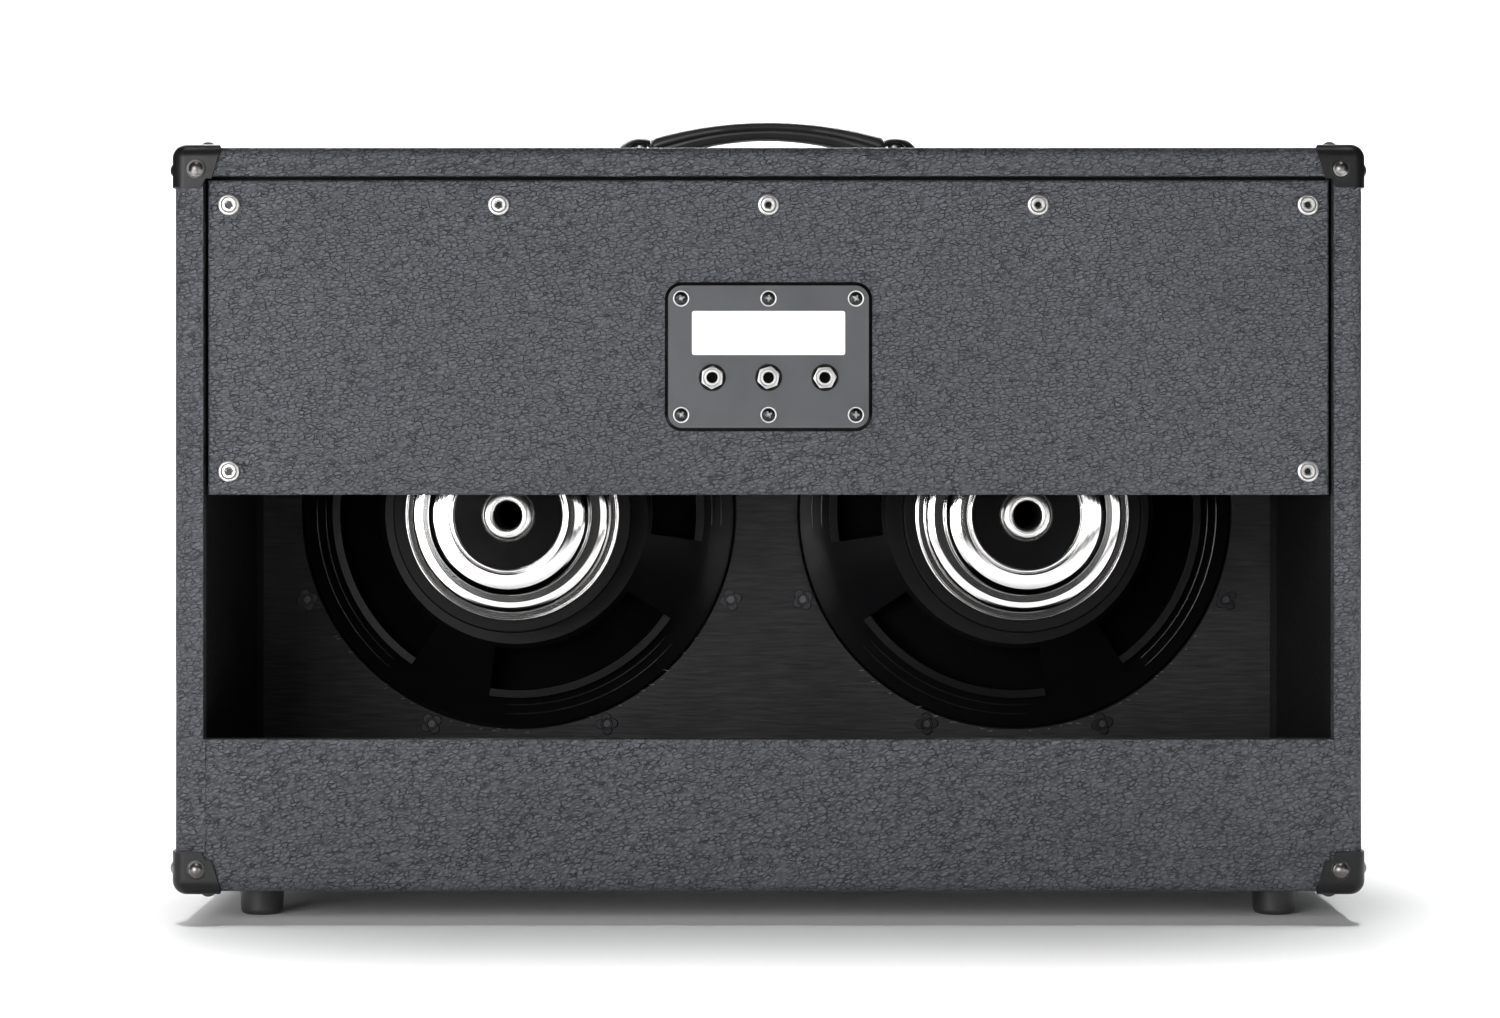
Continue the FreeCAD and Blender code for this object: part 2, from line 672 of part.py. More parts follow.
def corner_screws():
    """One raised screw through each face of each corner protector."""
    near = CORNER_LEG_WIDTH - CORNER_SCREW_EDGE
    far = near + CORNER_SCREW_SHIFT
    length = near - CORNER_SCREW_RADIUS - CORNER_SCREW_GAP
    out = CORNER_THICKNESS
    faces = (((near, -out, near), Y_AXIS), ((far, near, -out), Z_AXIS), ((-out, near, near), X_AXIS))
    head = raised_head(CORNER_SCREW_RADIUS, CORNER_SCREW_HEAD_RADIUS, CORNER_SCREW_HEAD_HEIGHT)
    screws = []
    for sx, sy, sz in mirrored_corners():
        for (dx, dy, dz), axis in faces:
            height = (top_z - floor_z) / 2 - dz
            base = Vector(sx * (half_width - dx), sy * (half_depth - dy), driver_z + sz * height)
            outward = Vector(sx * axis.x, sy * axis.y, sz * axis.z)
            screws.append(screw(base, outward, length, head))
    return screws


def foot_places():
    """Centres of the four feet."""
    foot_x = half_width - FOOT_INSET_X
    foot_y = half_depth - FOOT_INSET_Y
    return [Vector(sx * foot_x, sy * foot_y, 0) for sx in SIDES for sy in SIDES]


def feet():
    """Tapered rubber feet with a recess for the screw, and the screws."""
    recess = FOOT_HEIGHT - FOOT_FLOOR
    rim = FOOT_SCREW_HEAD_RADIUS
    mouth = rim + FOOT_RECESS_CLEARANCE
    tip = FOOT_RADIUS - FOOT_TAPER
    profile = [
        (mouth, 0), (tip - FOOT_BEVEL, 0), (tip, FOOT_BEVEL), (FOOT_RADIUS, FOOT_HEIGHT),
        (FOOT_SCREW_RADIUS, FOOT_HEIGHT), (FOOT_SCREW_RADIUS, recess), (mouth, recess)
    ]
    head = [(FOOT_SCREW_RADIUS, 0), (rim, 0), (rim, FOOT_SCREW_HEAD_HEIGHT), (0, FOOT_SCREW_HEAD_HEIGHT)]
    blocks, screws = [], []
    for place in foot_places():
        blocks.append(turned(profile, place, Z_AXIS))
        base = place + Vector(0, 0, recess)
        screws.append(screw(base, -Z_AXIS, FOOT_SCREW_LENGTH, head))
    return blocks, screws


# Handle


def handle_core():
    """Steel strip: an arch through the strap, bent down to a flat slotted tongue at each end."""
    centre_z = top_z + HANDLE_RISE - HANDLE_ARCH_RADIUS
    tongue = top_z + CAP_BOSS_HEIGHT
    tip = cap_x + TONGUE_TIP
    strap_end = HANDLE_LENGTH / 2
    bend_x = strap_end - CORE_RAMP
    lines = []
    for offset in (CORE_THICKNESS, 0):
        radius = HANDLE_ARCH_RADIUS - HANDLE_THICKNESS + CORE_COVER + offset
        bend = centre_z + math.sqrt(radius ** 2 - bend_x ** 2)
        level = tongue + offset
        lines.append([
            (-tip, level), (-strap_end, level), (-bend_x, bend),
            ((0, centre_z + radius), (bend_x, bend)), (strap_end, level), (tip, level)
        ])
    upper, lower = lines
    back_arc = (upper[3][0], upper[2])
    items = lower + [upper[5], upper[4], upper[3][1], back_arc, upper[1], upper[0]]
    strip = profile_face(items, lambda p: Vector(p[0], -CORE_WIDTH / 2, p[1])).extrude(Vector(0, CORE_WIDTH, 0))
    slot_y = HANDLE_SCREW_RADIUS + HANDLE_SCREW_CLEARANCE
    height = (tongue - OVERCUT, tongue + CORE_THICKNESS + OVERCUT)
    for side in SIDES:
        screw_x = side * cap_x
        strip = strip.cut(block((screw_x - TONGUE_SLOT, screw_x + TONGUE_SLOT), (-slot_y, slot_y), height))
    return strip


def handle_strap():
    """Moulded grip: a crowned section swept round the arch, hollowed underneath, with the core inside."""
    crest = top_z + HANDLE_RISE
    centre_z = crest - HANDLE_ARCH_RADIUS
    ridge = crest - HANDLE_CROWN
    half = HANDLE_WIDTH / 2
    foot = HANDLE_UNDERSIDE_WIDTH / 2
    base = crest - HANDLE_SECTION_DEPTH
    section = profile_face(
        [(half, ridge), ((0, crest), (-half, ridge)), (-foot, base), (foot, base)],
        lambda p: Vector(0, p[0], p[1])
    )
    sweep = 2 * math.degrees(math.asin(HANDLE_LENGTH / HANDLE_ARCH_RADIUS))
    arch_axis = Vector(0, 0, centre_z)
    section.rotate(arch_axis, Y_AXIS, -sweep / 2)
    strap = section.revolve(arch_axis, Y_AXIS, sweep)
    end = HANDLE_LENGTH / 2
    strap = strap.common(block((-end, end), (-half, half), (top_z + HANDLE_END_CLEARANCE, crest)))
    hollow_z = top_z + grip_height - HANDLE_UNDERSIDE_RADIUS
    hollow = cylinder(HANDLE_UNDERSIDE_RADIUS, HANDLE_WIDTH + 2 * OVERCUT,
                      Vector(0, -half - OVERCUT, hollow_z), Y_AXIS)
    return strap.cut(hollow).cut(handle_core())


def handle_cap(side):
    """Domed end cap, open towards the strap and arched at the sides, with a boss under the tongue."""
    centre = Vector(side * cap_x, 0, top_z)
    rounding = CAP_RADIUS - CAP_FLAT
    dome = cylinder(CAP_RADIUS, cap_height, centre, Z_AXIS)
    dome = dome.makeFillet(rounding, [e for e in dome.Edges if e.BoundBox.ZMin > top_z + cap_height - 1e-3])
    cavity_top = cap_height - CAP_WALL
    cavity = cylinder(CAP_RADIUS - CAP_WALL, cavity_top - CAP_FLOOR, centre + Vector(0, 0, CAP_FLOOR), Z_AXIS)
    rim = [e for e in cavity.Edges if e.BoundBox.ZMin > top_z + cavity_top - 1e-3]
    dome = dome.cut(cavity.makeFillet(rounding - CAP_WALL, rim))
    window = cylinder(CAP_WINDOW_RADIUS, 2 * CAP_RADIUS + 2 * OVERCUT,
                      centre + Vector(0, -CAP_RADIUS - OVERCUT, CAP_WINDOW_HEIGHT), Y_AXIS)
    above_floor = block((centre.x - CAP_RADIUS, centre.x + CAP_RADIUS), (-2 * CAP_RADIUS, 2 * CAP_RADIUS),
                        (top_z + CAP_FLOOR, top_z + cap_height))
    dome = dome.cut(window.common(above_floor))
    mouth = side * (HANDLE_LENGTH / 2 + CAP_MOUTH)
    inside = (mouth - CAP_RADIUS * 2, mouth) if side > 0 else (mouth, mouth + CAP_RADIUS * 2)
    height = (top_z - OVERCUT, top_z + cap_height + OVERCUT)
    dome = dome.cut(block(inside, (-2 * CAP_RADIUS, 2 * CAP_RADIUS), height))
    boss = cylinder(CAP_BOSS_RADIUS, CAP_BOSS_HEIGHT, centre, Z_AXIS)
    hole = cylinder(HANDLE_SCREW_RADIUS, CAP_BOSS_HEIGHT + 2 * OVERCUT, centre - Vector(0, 0, OVERCUT), Z_AXIS)
    return joined([dome, boss]).cut(hole)


def handle_screws():
    """Screws that hold the caps, and stop the tongues when the strap is lifted."""
    length = HANDLE_SCREW_LENGTH + screw_seat
    head = raised_head(HANDLE_SCREW_RADIUS, HANDLE_SCREW_HEAD_RADIUS, HANDLE_SCREW_HEAD_HEIGHT)
    bases = [Vector(side * cap_x, 0, top_z + screw_seat) for side in SIDES]
    return [screw(base, Z_AXIS, length, head) for base in bases]


# Jack plate


def plate_screw_places():
    """Three screws along the top of the jack plate and three along the bottom."""
    edge_x = plate_width / 2 - PLATE_SCREW_INSET
    edge_z = plate_height / 2 - PLATE_SCREW_INSET
    return [(x, plate_z + z) for z in (-edge_z, edge_z) for x in (-edge_x, 0, edge_x)]


def jack_places():
    return [(x, plate_z - JACK_DROP) for x in (-JACK_SPACING, 0, JACK_SPACING)]


def jack_plate():
    """Flat plate with rounded corners and a bevelled rim."""
    half_x = plate_width / 2
    half_z = plate_height / 2
    plate = block((-half_x, half_x), (upper_rear, plate_rear), (plate_z - half_z, plate_z + half_z))
    plate = plate.makeFillet(PLATE_CORNER, edges_along(plate, Y_AXIS))
    plate = plate.makeChamfer(PLATE_BEVEL, edges_at_y(plate, plate_rear))
    holes = []
    for places, radius in (
        (plate_screw_places(), PLATE_SCREW_RADIUS + PLATE_SCREW_CLEARANCE), (jack_places(), JACK_BUSH_RADIUS)
    ):
        for x, z in places:
            mouth = Vector(x, upper_rear - OVERCUT, z)
            holes.append(cylinder(radius, PLATE_THICKNESS + 2 * OVERCUT, mouth, Y_AXIS))
    return plate.cut(holes)


def jack_plate_fasteners():
    """Raised screws, each in a finishing ring."""
    bore = PLATE_SCREW_HEAD_RADIUS
    ring = [(bore, 0), (bore + PLATE_RING_WIDTH, 0), (bore, PLATE_RING_HEIGHT)]
    head = raised_head(PLATE_SCREW_RADIUS, PLATE_SCREW_HEAD_RADIUS, PLATE_SCREW_HEAD_HEIGHT)
    screws, rings = [], []
    for x, z in plate_screw_places():
        base = Vector(x, plate_rear, z)
        screws.append(screw(base, Y_AXIS, PLATE_SCREW_LENGTH, head))
        rings.append(turned(ring, base, Y_AXIS))
    return screws, rings


def jacks():
    """Sockets with a threaded bush through the plate, each with a washer and a hexagon nut outside."""
    half = JACK_BODY_WIDTH / 2
    sockets, washers, nuts = [], [], []
    for (x, z), turn in zip(jack_places(), JACK_NUT_TURNS):
        body = block((x - half, x + half), (jack_front, upper_rear), (z - half, z + half))
        bush = cylinder(JACK_BUSH_RADIUS, jack_mouth - upper_rear, Vector(x, upper_rear, z), Y_AXIS)
        bore = cylinder(JACK_BORE_RADIUS, JACK_BORE_DEPTH, Vector(x, jack_mouth, z), -Y_AXIS)
        sockets.append(joined([body, bush]).cut(bore))
        ring = [
            (JACK_BUSH_RADIUS, 0), (JACK_WASHER_RADIUS, 0), (JACK_WASHER_RADIUS, JACK_WASHER_THICKNESS),
            (JACK_BUSH_RADIUS, JACK_WASHER_THICKNESS)
        ]
        washers.append(turned(ring, Vector(x, plate_rear, z), Y_AXIS))
        nut = hexagon(JACK_NUT_WIDTH, JACK_NUT_THICKNESS, Vector(x, washer_rear, z), turn)
        nuts.append(nut.cut(cylinder(JACK_BUSH_RADIUS, JACK_NUT_THICKNESS, Vector(x, washer_rear, z), Y_AXIS)))
    return sockets, washers, nuts


def hexagon(width, thickness, base, turn):
    """Hexagonal prism across its flats, along the depth."""
    radius = width / math.sqrt(3)
    corners = [arc_point((base.x, base.z), radius, turn + i * FULL_TURN / 6) for i in range(6)]
    points = [Vector(x, base.y, z) for x, z in corners]
    return Part.Face(Part.makePolygon(points + points[:1])).extrude(Vector(0, thickness, 0))


# Drivers


def driver_part(side, items):
    """Solid of revolution from (radius, depth) points about the axis of one driver."""
    return turned(items, Vector(driver_x(side), baffle_front, driver_z), Y_AXIS)


def sector(side, radii, depths, start, angle):
    """Ring segment about the axis of one driver; the angle is counted from +X towards +Z."""
    corners = [(radii[0], depths[0]), (radii[1], depths[0]), (radii[1], depths[1]), (radii[0], depths[1])]
    centre = Vector(driver_x(side), 0, driver_z)
    face = profile_face(corners, lambda p: centre + Vector(p[0], baffle_front + p[1], 0))
    face.rotate(centre, Y_AXIS, -start)
    return face.revolve(centre, Y_AXIS, -angle)


def arm_start(side):
    return ARM_START_RIGHT if side > 0 else ARM_START_LEFT


def basket(side):
    """Pressed steel basket: flange, wall, ridge, rimmed windows between arms, spider ledge and motor cup."""
    sheet = BASKET_SHEET
    profile = [
        (FLANGE_RADIUS, -FLANGE_THICKNESS), (FLANGE_RADIUS, 0), (wall_radius, 0),
        (wall_radius, BASKET_WALL_DEPTH), (ridge_radius, RIDGE_DEPTH),
        (shoulder_radius, SHOULDER_DEPTH), (ledge_radius, LEDGE_DEPTH), (cup_radius, LEDGE_DEPTH),
        (cup_radius, CUP_DEPTH), (CUP_BORE_RADIUS, CUP_DEPTH), (CUP_BORE_RADIUS, CUP_DEPTH - sheet),
        (cup_radius - sheet, CUP_DEPTH - sheet), (cup_radius - sheet, spider_rear),
        (ledge_radius, spider_rear), (shoulder_radius, SHOULDER_DEPTH - sheet),
        (ridge_radius, RIDGE_DEPTH - sheet), (wall_radius - sheet, BASKET_WALL_DEPTH - sheet),
        (wall_radius - sheet, -FLANGE_THICKNESS)
    ]
    pitch = FULL_TURN / ARM_COUNT
    rim = shoulder_radius - WINDOW_MARGIN
    rim_radii = (rim, rim + WINDOW_RIM_WIDTH)
    rim_depths = (SHOULDER_DEPTH - sheet, SHOULDER_DEPTH + WINDOW_RIM_HEIGHT)
    radii = (ledge_radius + WINDOW_MARGIN, rim)
    depths = (SHOULDER_DEPTH - OVERCUT - sheet, LEDGE_DEPTH + OVERCUT)
    solids = [driver_part(side, profile)]
    cuts = []
    for i in range(ARM_COUNT):
        start = arm_start(side) + ARM_ANGLE / 2 + i * pitch
        solids.append(sector(side, rim_radii, rim_depths, start, pitch - ARM_ANGLE))
        cuts.append(sector(side, radii, depths, start, pitch - ARM_ANGLE))
    for x, z in bolt_places():
        if x * side > 0:
            mouth = Vector(x, baffle_front - FLANGE_THICKNESS - OVERCUT, z)
            cuts.append(cylinder(BOLT_RADIUS + BOLT_CLEARANCE, FLANGE_THICKNESS + OVERCUT, mouth, Y_AXIS))
    return joined(solids).cut(cuts)


def cone_front(radius):
    """Depth of the front face of the cone at a radius."""
    slope = (neck_depth - CONE_RIM_DEPTH) / (cone_radius - COIL_RADIUS)
    return CONE_RIM_DEPTH + (cone_radius - radius) * slope


def cone(side):
    return driver_part(side, [
        (cone_radius, CONE_RIM_DEPTH), (cone_radius, CONE_RIM_DEPTH + CONE_THICKNESS),
        (COIL_RADIUS, neck_depth + CONE_THICKNESS), (COIL_RADIUS, neck_depth)
    ])


def cone_edge(side):
    """Edge that steps forward from the rim of the cone to the front of the flange."""
    step = cone_radius + EDGE_FLAT_WIDTH
    rise = step + EDGE_RISE_WIDTH
    step_depth = CONE_RIM_DEPTH - EDGE_FLAT_RISE
    return driver_part(side, [
        (cone_radius, CONE_RIM_DEPTH), (step, step_depth), (rise, edge_front),
        (gasket_outer, edge_front), (gasket_outer, -FLANGE_THICKNESS),
        (rise + EDGE_THICKNESS, -FLANGE_THICKNESS), (step + EDGE_THICKNESS, step_depth + CONE_THICKNESS),
        (cone_radius, CONE_RIM_DEPTH + CONE_THICKNESS)
    ])


def front_gasket(side):
    front = edge_front - GASKET_THICKNESS
    return driver_part(side, [
        (gasket_inner, edge_front), (gasket_outer, edge_front), (gasket_outer, front), (gasket_inner, front)
    ])


def dust_cap(side):
    """Shallow pressed cap, glued by its rim to the front of the cone."""
    rim = cone_front(DUST_CAP_RADIUS)
    inner = DUST_CAP_RADIUS - DUST_CAP_THICKNESS
    crown = rim - DUST_CAP_HEIGHT
    return driver_part(side, [
        (DUST_CAP_RADIUS, rim), (DUST_CAP_CROWN_RADIUS, crown), (0, crown),
        (0, crown + DUST_CAP_THICKNESS), (DUST_CAP_CROWN_RADIUS, crown + DUST_CAP_THICKNESS),
        (inner, cone_front(inner))
    ])


def voice_coil(side):
    """Coil former, glued to the neck of the cone and hanging in the magnet gap."""
    bore = COIL_RADIUS - COIL_WALL
    front = neck_depth - COIL_NECK
    return driver_part(side, [(bore, front), (COIL_RADIUS, front), (COIL_RADIUS, coil_end), (bore, coil_end)])


def spider(side):
    """Flat centring disc from the coil former to the ledge of the basket."""
    front = spider_rear - SPIDER_THICKNESS
    return driver_part(side, [
        (COIL_RADIUS, front), (spider_radius, front), (spider_radius, spider_rear), (COIL_RADIUS, spider_rear)
    ])


def top_plate(side):
    bore = COIL_RADIUS + GAP_CLEARANCE
    return driver_part(side, [
        (bore, CUP_DEPTH), (TOP_PLATE_RADIUS, CUP_DEPTH), (TOP_PLATE_RADIUS, magnet_front), (bore, magnet_front)
    ])


def magnet_ring(side):
    return driver_part(side, [
        (MAGNET_BORE_RADIUS, magnet_front), (MAGNET_RADIUS, magnet_front),
        (MAGNET_RADIUS, magnet_rear), (MAGNET_BORE_RADIUS, magnet_rear)
    ])


def yoke(side):
    """Back plate with the pole through the coil and a vent spigot at the rear."""
    plate_back = magnet_rear + BACK_PLATE_THICKNESS
    vent_end = magnet_rear + COVER_HEIGHT + VENT_PROUD
    pole_front = CUP_DEPTH - POLE_PROUD
    return driver_part(side, [
        (VENT_RADIUS, pole_front), (pole_radius, pole_front), (pole_radius, magnet_rear),
        (back_plate_radius, magnet_rear), (back_plate_radius, plate_back),
        (VENT_SPIGOT_RADIUS, plate_back), (VENT_SPIGOT_RADIUS, vent_end), (VENT_RADIUS, vent_end)
    ])


def magnet_cover(side):
    """Polished two-step cover over the magnet and back plate, with a recess round the vent."""
    sheet = COVER_SHEET
    step = magnet_rear + COVER_STEP_HEIGHT
    crown = magnet_rear + COVER_HEIGHT
    floor = crown - COVER_RECESS
    bore = VENT_SPIGOT_RADIUS + COVER_CLEARANCE
    wall_inside = cover_wall_radius - sheet
    drum_inside = cover_drum_radius - sheet
    step_round = (cover_wall_radius - COVER_STEP_ROUNDING, step - COVER_STEP_ROUNDING)
    drum_round = (cover_drum_radius - COVER_DRUM_ROUNDING, crown - COVER_DRUM_ROUNDING)
    return driver_part(side, [
        (cover_flange_radius, magnet_rear), (cover_flange_radius, magnet_rear + sheet),
        (cover_wall_radius, magnet_rear + sheet), (cover_wall_radius, step_round[1]),
        (arc_point(step_round, COVER_STEP_ROUNDING, QUARTER_TURN / 2), (step_round[0], step)),
        (cover_drum_radius, step), (cover_drum_radius, drum_round[1]),
        (arc_point(drum_round, COVER_DRUM_ROUNDING, QUARTER_TURN / 2), (drum_round[0], crown)),
        (cover_lip_radius, crown), (cover_lip_radius, floor), (bore, floor), (bore, floor - sheet),
        (cover_lip_radius + sheet, floor - sheet), (cover_lip_radius + sheet, crown - sheet),
        (drum_round[0], crown - sheet), (drum_inside, drum_round[1]), (drum_inside, step - sheet),
        (step_round[0], step - sheet), (wall_inside, step_round[1]), (wall_inside, magnet_rear)
    ])


def terminal_strip(side):
    """Fibre strip with two solder tags, on the arm of the basket nearest the top and the middle."""
    lean = math.degrees(math.atan2(WINDOW_REACH, LEDGE_DEPTH - SHOULDER_DEPTH))
    half = TERMINAL_WIDTH / 2
    strip = block((-half, half), (-TERMINAL_HEIGHT / 2, TERMINAL_HEIGHT / 2), (0, TERMINAL_THICKNESS))
    tags = []
    for end in SIDES:
        tag_x = end * TAG_SPACING / 2
        width = (tag_x - TAG_WIDTH / 2, tag_x + TAG_WIDTH / 2)
        height = (TERMINAL_THICKNESS, TERMINAL_THICKNESS + TAG_LENGTH)
        tags.append(block(width, (-TAG_THICKNESS / 2, TAG_THICKNESS / 2), height))
    shape = joined([strip] + tags)
    shape.translate(Vector(0, 0, TERMINAL_SEAT))
    shape.rotate(Vector(), X_AXIS, -lean)
    middle_radius = (shoulder_radius + ledge_radius) / 2
    middle_depth = (SHOULDER_DEPTH + LEDGE_DEPTH) / 2
    shape.translate(Vector(driver_x(side), baffle_front + middle_depth, driver_z + middle_radius))
    arms = [arm_start(side) + i * FULL_TURN / ARM_COUNT for i in range(ARM_COUNT)]
    upper_arm = min(arms, key=lambda angle: abs(angle - QUARTER_TURN))
    shape.rotate(Vector(driver_x(side), 0, driver_z), Y_AXIS, QUARTER_TURN - upper_arm)
    return shape


def speaker_bolts():
    """Hexagon-headed bolts from the front of each flange through the baffle."""
    seat = baffle_front - FLANGE_THICKNESS
    length = FLANGE_THICKNESS + BAFFLE_THICKNESS
    bolts = []
    for x, z in bolt_places():
        head = hexagon(BOLT_HEAD_WIDTH, BOLT_HEAD_HEIGHT, Vector(x, seat - BOLT_HEAD_HEIGHT, z), 0)
        bolts.append(joined([head, cylinder(BOLT_RADIUS, length, Vector(x, seat, z), Y_AXIS)]))
    return bolts


def tee_nuts():
    """Tee nuts with a four-lobed flange on the rear of the baffle and a barrel in the bolt hole."""
    nuts = []
    for x, z in bolt_places():
        outline = []
        for i in range(8):
            reach = TEE_NUT_RADIUS if i % 2 else TEE_NUT_WAIST
            outline.append(arc_point((x, z), reach, i * FULL_TURN / 8))
        points = [Vector(px, baffle_rear, pz) for px, pz in outline]
        flange = Part.Face(Part.makePolygon(points + points[:1])).extrude(Vector(0, TEE_NUT_THICKNESS, 0))
        inner_end = Vector(x, baffle_rear - TEE_NUT_BARREL_LENGTH, z)
        barrel = cylinder(TEE_NUT_BARREL_RADIUS, TEE_NUT_BARREL_LENGTH, inner_end, Y_AXIS)
        thread = cylinder(BOLT_RADIUS, TEE_NUT_BARREL_LENGTH + TEE_NUT_THICKNESS, inner_end, Y_AXIS)
        nuts.append(joined([flange, barrel]).cut(thread))
    return nuts


DRIVER_PIECES = (
    ("basket", basket), ("front_gasket", front_gasket), ("cone", cone), ("cone_edge", cone_edge),
    ("dust_cap", dust_cap), ("voice_coil", voice_coil), ("spider", spider), ("top_plate", top_plate),
    ("magnet_ring", magnet_ring), ("yoke", yoke), ("magnet_cover", magnet_cover),
    ("terminal_strip", terminal_strip),
)


def main():
    os.makedirs("parts", exist_ok=True)
    for node, panel in box_panels().items():
        save(node, [panel])
    save("cabinet_covering", [cabinet_covering()])
    save("baffle_board", [baffle_board()])
    save("baffle_edge_beads", baffle_edge_beads())

    upper_wood, upper_skin = upper_back()
    save("upper_back_panel", [upper_wood])
    save("upper_back_covering", [upper_skin])
    save("lower_back_panel", [lower_back_panel()])
    save("back_panel_cleats", back_panel_cleats())
    screws, washers = back_panel_fasteners()
    save("back_panel_screws", screws)
    save("back_panel_cup_washers", washers)

    frame, cloth, pads = grille()
    save("grille_frame", frame)
    save("grille_cloth", [cloth])
    save("grille_fixing_pads", pads)

    save("corner_protectors", corner_protectors())
    save("corner_screws", corner_screws())
    blocks, screws = feet()
    save("feet", blocks)
    save("foot_screws", screws)

    save("handle_strap", [handle_strap()])
    save("handle_core", [handle_core()])
    save("handle_caps", [handle_cap(side) for side in SIDES])
    save("handle_screws", handle_screws())

    save("jack_plate", [jack_plate()])
    screws, rings = jack_plate_fasteners()
    save("jack_plate_screws", screws)
    save("jack_plate_rings", rings)
    sockets, washers, nuts = jacks()
    save("jack_sockets", sockets)
    save("jack_washers", washers)
    save("jack_nuts", nuts)

    for side, name in zip(SIDES, ("left", "right")):
        for piece, make in DRIVER_PIECES:
            save(piece + "_" + name, [make(side)])
    save("speaker_bolts", speaker_bolts())
    save("tee_nuts", tee_nuts())


main()
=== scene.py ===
import random
from math import asin, copysign, cos, pi, radians, sin, sqrt, tau

import bmesh
import bpy
from mathutils import Matrix, Vector


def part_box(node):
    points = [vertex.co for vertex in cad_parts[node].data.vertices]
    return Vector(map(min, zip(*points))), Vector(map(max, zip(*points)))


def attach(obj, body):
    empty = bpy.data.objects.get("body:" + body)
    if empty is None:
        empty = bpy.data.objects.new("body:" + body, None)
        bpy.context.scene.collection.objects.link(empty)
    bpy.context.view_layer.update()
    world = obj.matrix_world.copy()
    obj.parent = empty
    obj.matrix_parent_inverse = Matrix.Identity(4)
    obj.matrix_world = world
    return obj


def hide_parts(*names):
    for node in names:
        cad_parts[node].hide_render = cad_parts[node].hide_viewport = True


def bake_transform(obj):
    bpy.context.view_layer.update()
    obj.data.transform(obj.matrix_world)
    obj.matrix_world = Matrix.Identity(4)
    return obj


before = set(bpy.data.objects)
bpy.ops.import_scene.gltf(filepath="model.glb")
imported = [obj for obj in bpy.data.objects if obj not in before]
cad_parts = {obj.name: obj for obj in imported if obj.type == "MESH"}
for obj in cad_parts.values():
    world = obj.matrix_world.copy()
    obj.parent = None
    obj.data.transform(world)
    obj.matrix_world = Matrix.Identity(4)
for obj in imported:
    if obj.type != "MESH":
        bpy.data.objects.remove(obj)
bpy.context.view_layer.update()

# Dressed model of an open-back guitar speaker cabinet, seen from the rear as in the photograph.
# Metres. X runs across the cabinet, the grille faces -Y, the open rear faces +Y, and Z is up.

MM = 0.001
AXES = (Vector((1, 0, 0)), Vector((0, 1, 0)), Vector((0, 0, 1)))
Y_AXIS, Z_AXIS = AXES[1:]
Y_INDEX = 1
Z_INDEX = 2
NAMES = ("left", "right")
WHITE = (1.0, 1.0, 1.0, 1.0)

# Mesh settings
WELD = 1e-6
FLAT_LIMIT = radians(0.5)
SHARP_LIMIT = radians(32)
SMOOTH_LIMIT = cos(radians(41))
FINE_SEGMENTS = 144
FOOT_SEGMENTS = 72
MEDIUM_SEGMENTS = 48
SMALL_SEGMENTS = 32
ROUNDING_STEPS = 5
ROUNDING_SHARE = 0.45
BEVEL_STEPS = 3
BEVEL_PROFILE = 0.5
SORT_DIGITS = 4
HEX_SIDES = 6

# Camera, from the photograph: level, behind the cabinet, and a little to one side
CAMERA_PLACE = (0.0108, 2.35, 0.2804)
CAMERA_LENS = 90.7
CAMERA_SENSOR = 36.0
CAMERA_SHIFT_PIXELS = -64.0
PHOTO_WIDTH = 1500.0

# Studio: pale sweep, soft lights by the camera and behind, and lights for floor and backdrop
SWEEP_HALF_WIDTH = 1.7
SWEEP_NEAR = 1.9
SWEEP_FAR = -2.6
SWEEP_RADIUS = 1.0
SWEEP_HEIGHT = 3.0
SWEEP_STEPS = 16
SOFT_LIGHTS = (
    # place, aim, width, height, power, spread in degrees
    ((1.5, 3.0, 0.7), (0.0, 0.1, 0.22), 2.0, 1.6, 52.0, 120.0),
    ((-1.5, 3.0, 0.7), (0.0, 0.1, 0.22), 2.0, 1.6, 8.0, 120.0),
    ((0.0, 0.85, 2.6), (0.0, 0.85, 0.0), 3.0, 0.4, 26.0, 30.0),
    ((0.85, -0.6, 2.6), (0.85, -0.6, 0.0), 0.6, 3.0, 19.0, 18.0),
    ((-0.85, -0.6, 2.6), (-0.85, -0.6, 0.0), 0.6, 3.0, 19.0, 18.0),
    ((0.0, -1.0, 2.6), (0.0, -3.4, 0.9), 3.2, 0.8, 110.0, 150.0),
    ((0.5, -2.8, 2.1), (0.0, -0.15, 0.25), 2.4, 0.8, 30.0, 120.0),
)
# Strength of the world as light on the object, and where the camera sees it directly
WORLD_LEVEL = 0.03
WALL_LEVEL = 0.95

# Profiles are (radius, height) in millimetres from the surface that carries the piece.

# Raised finishing washer and its countersunk screw
WASHER_PROFILE = (
    (2.6, 0.0), (6.2, 0.0), (6.2, 0.9), (6.05, 1.3), (5.4, 1.58), (4.8, 1.74), (4.62, 1.5), (4.5, 0.5),
    (4.3, 0.35), (2.6, 0.02),
)
BACK_SCREW_PROFILE = ((2.8, 1.2), (3.9, 1.1), (4.1, 0.85), (2.62, 0.0))
BACK_SCREW_TURN = 0.4
SOCKET_WIDTH = 2.4
SOCKET_DEPTH = 2.0
SOCKET_CHAMFER = 0.1
BACK_SHANK = (1.7, 25.0)
BACK_SHANK_START = -0.8

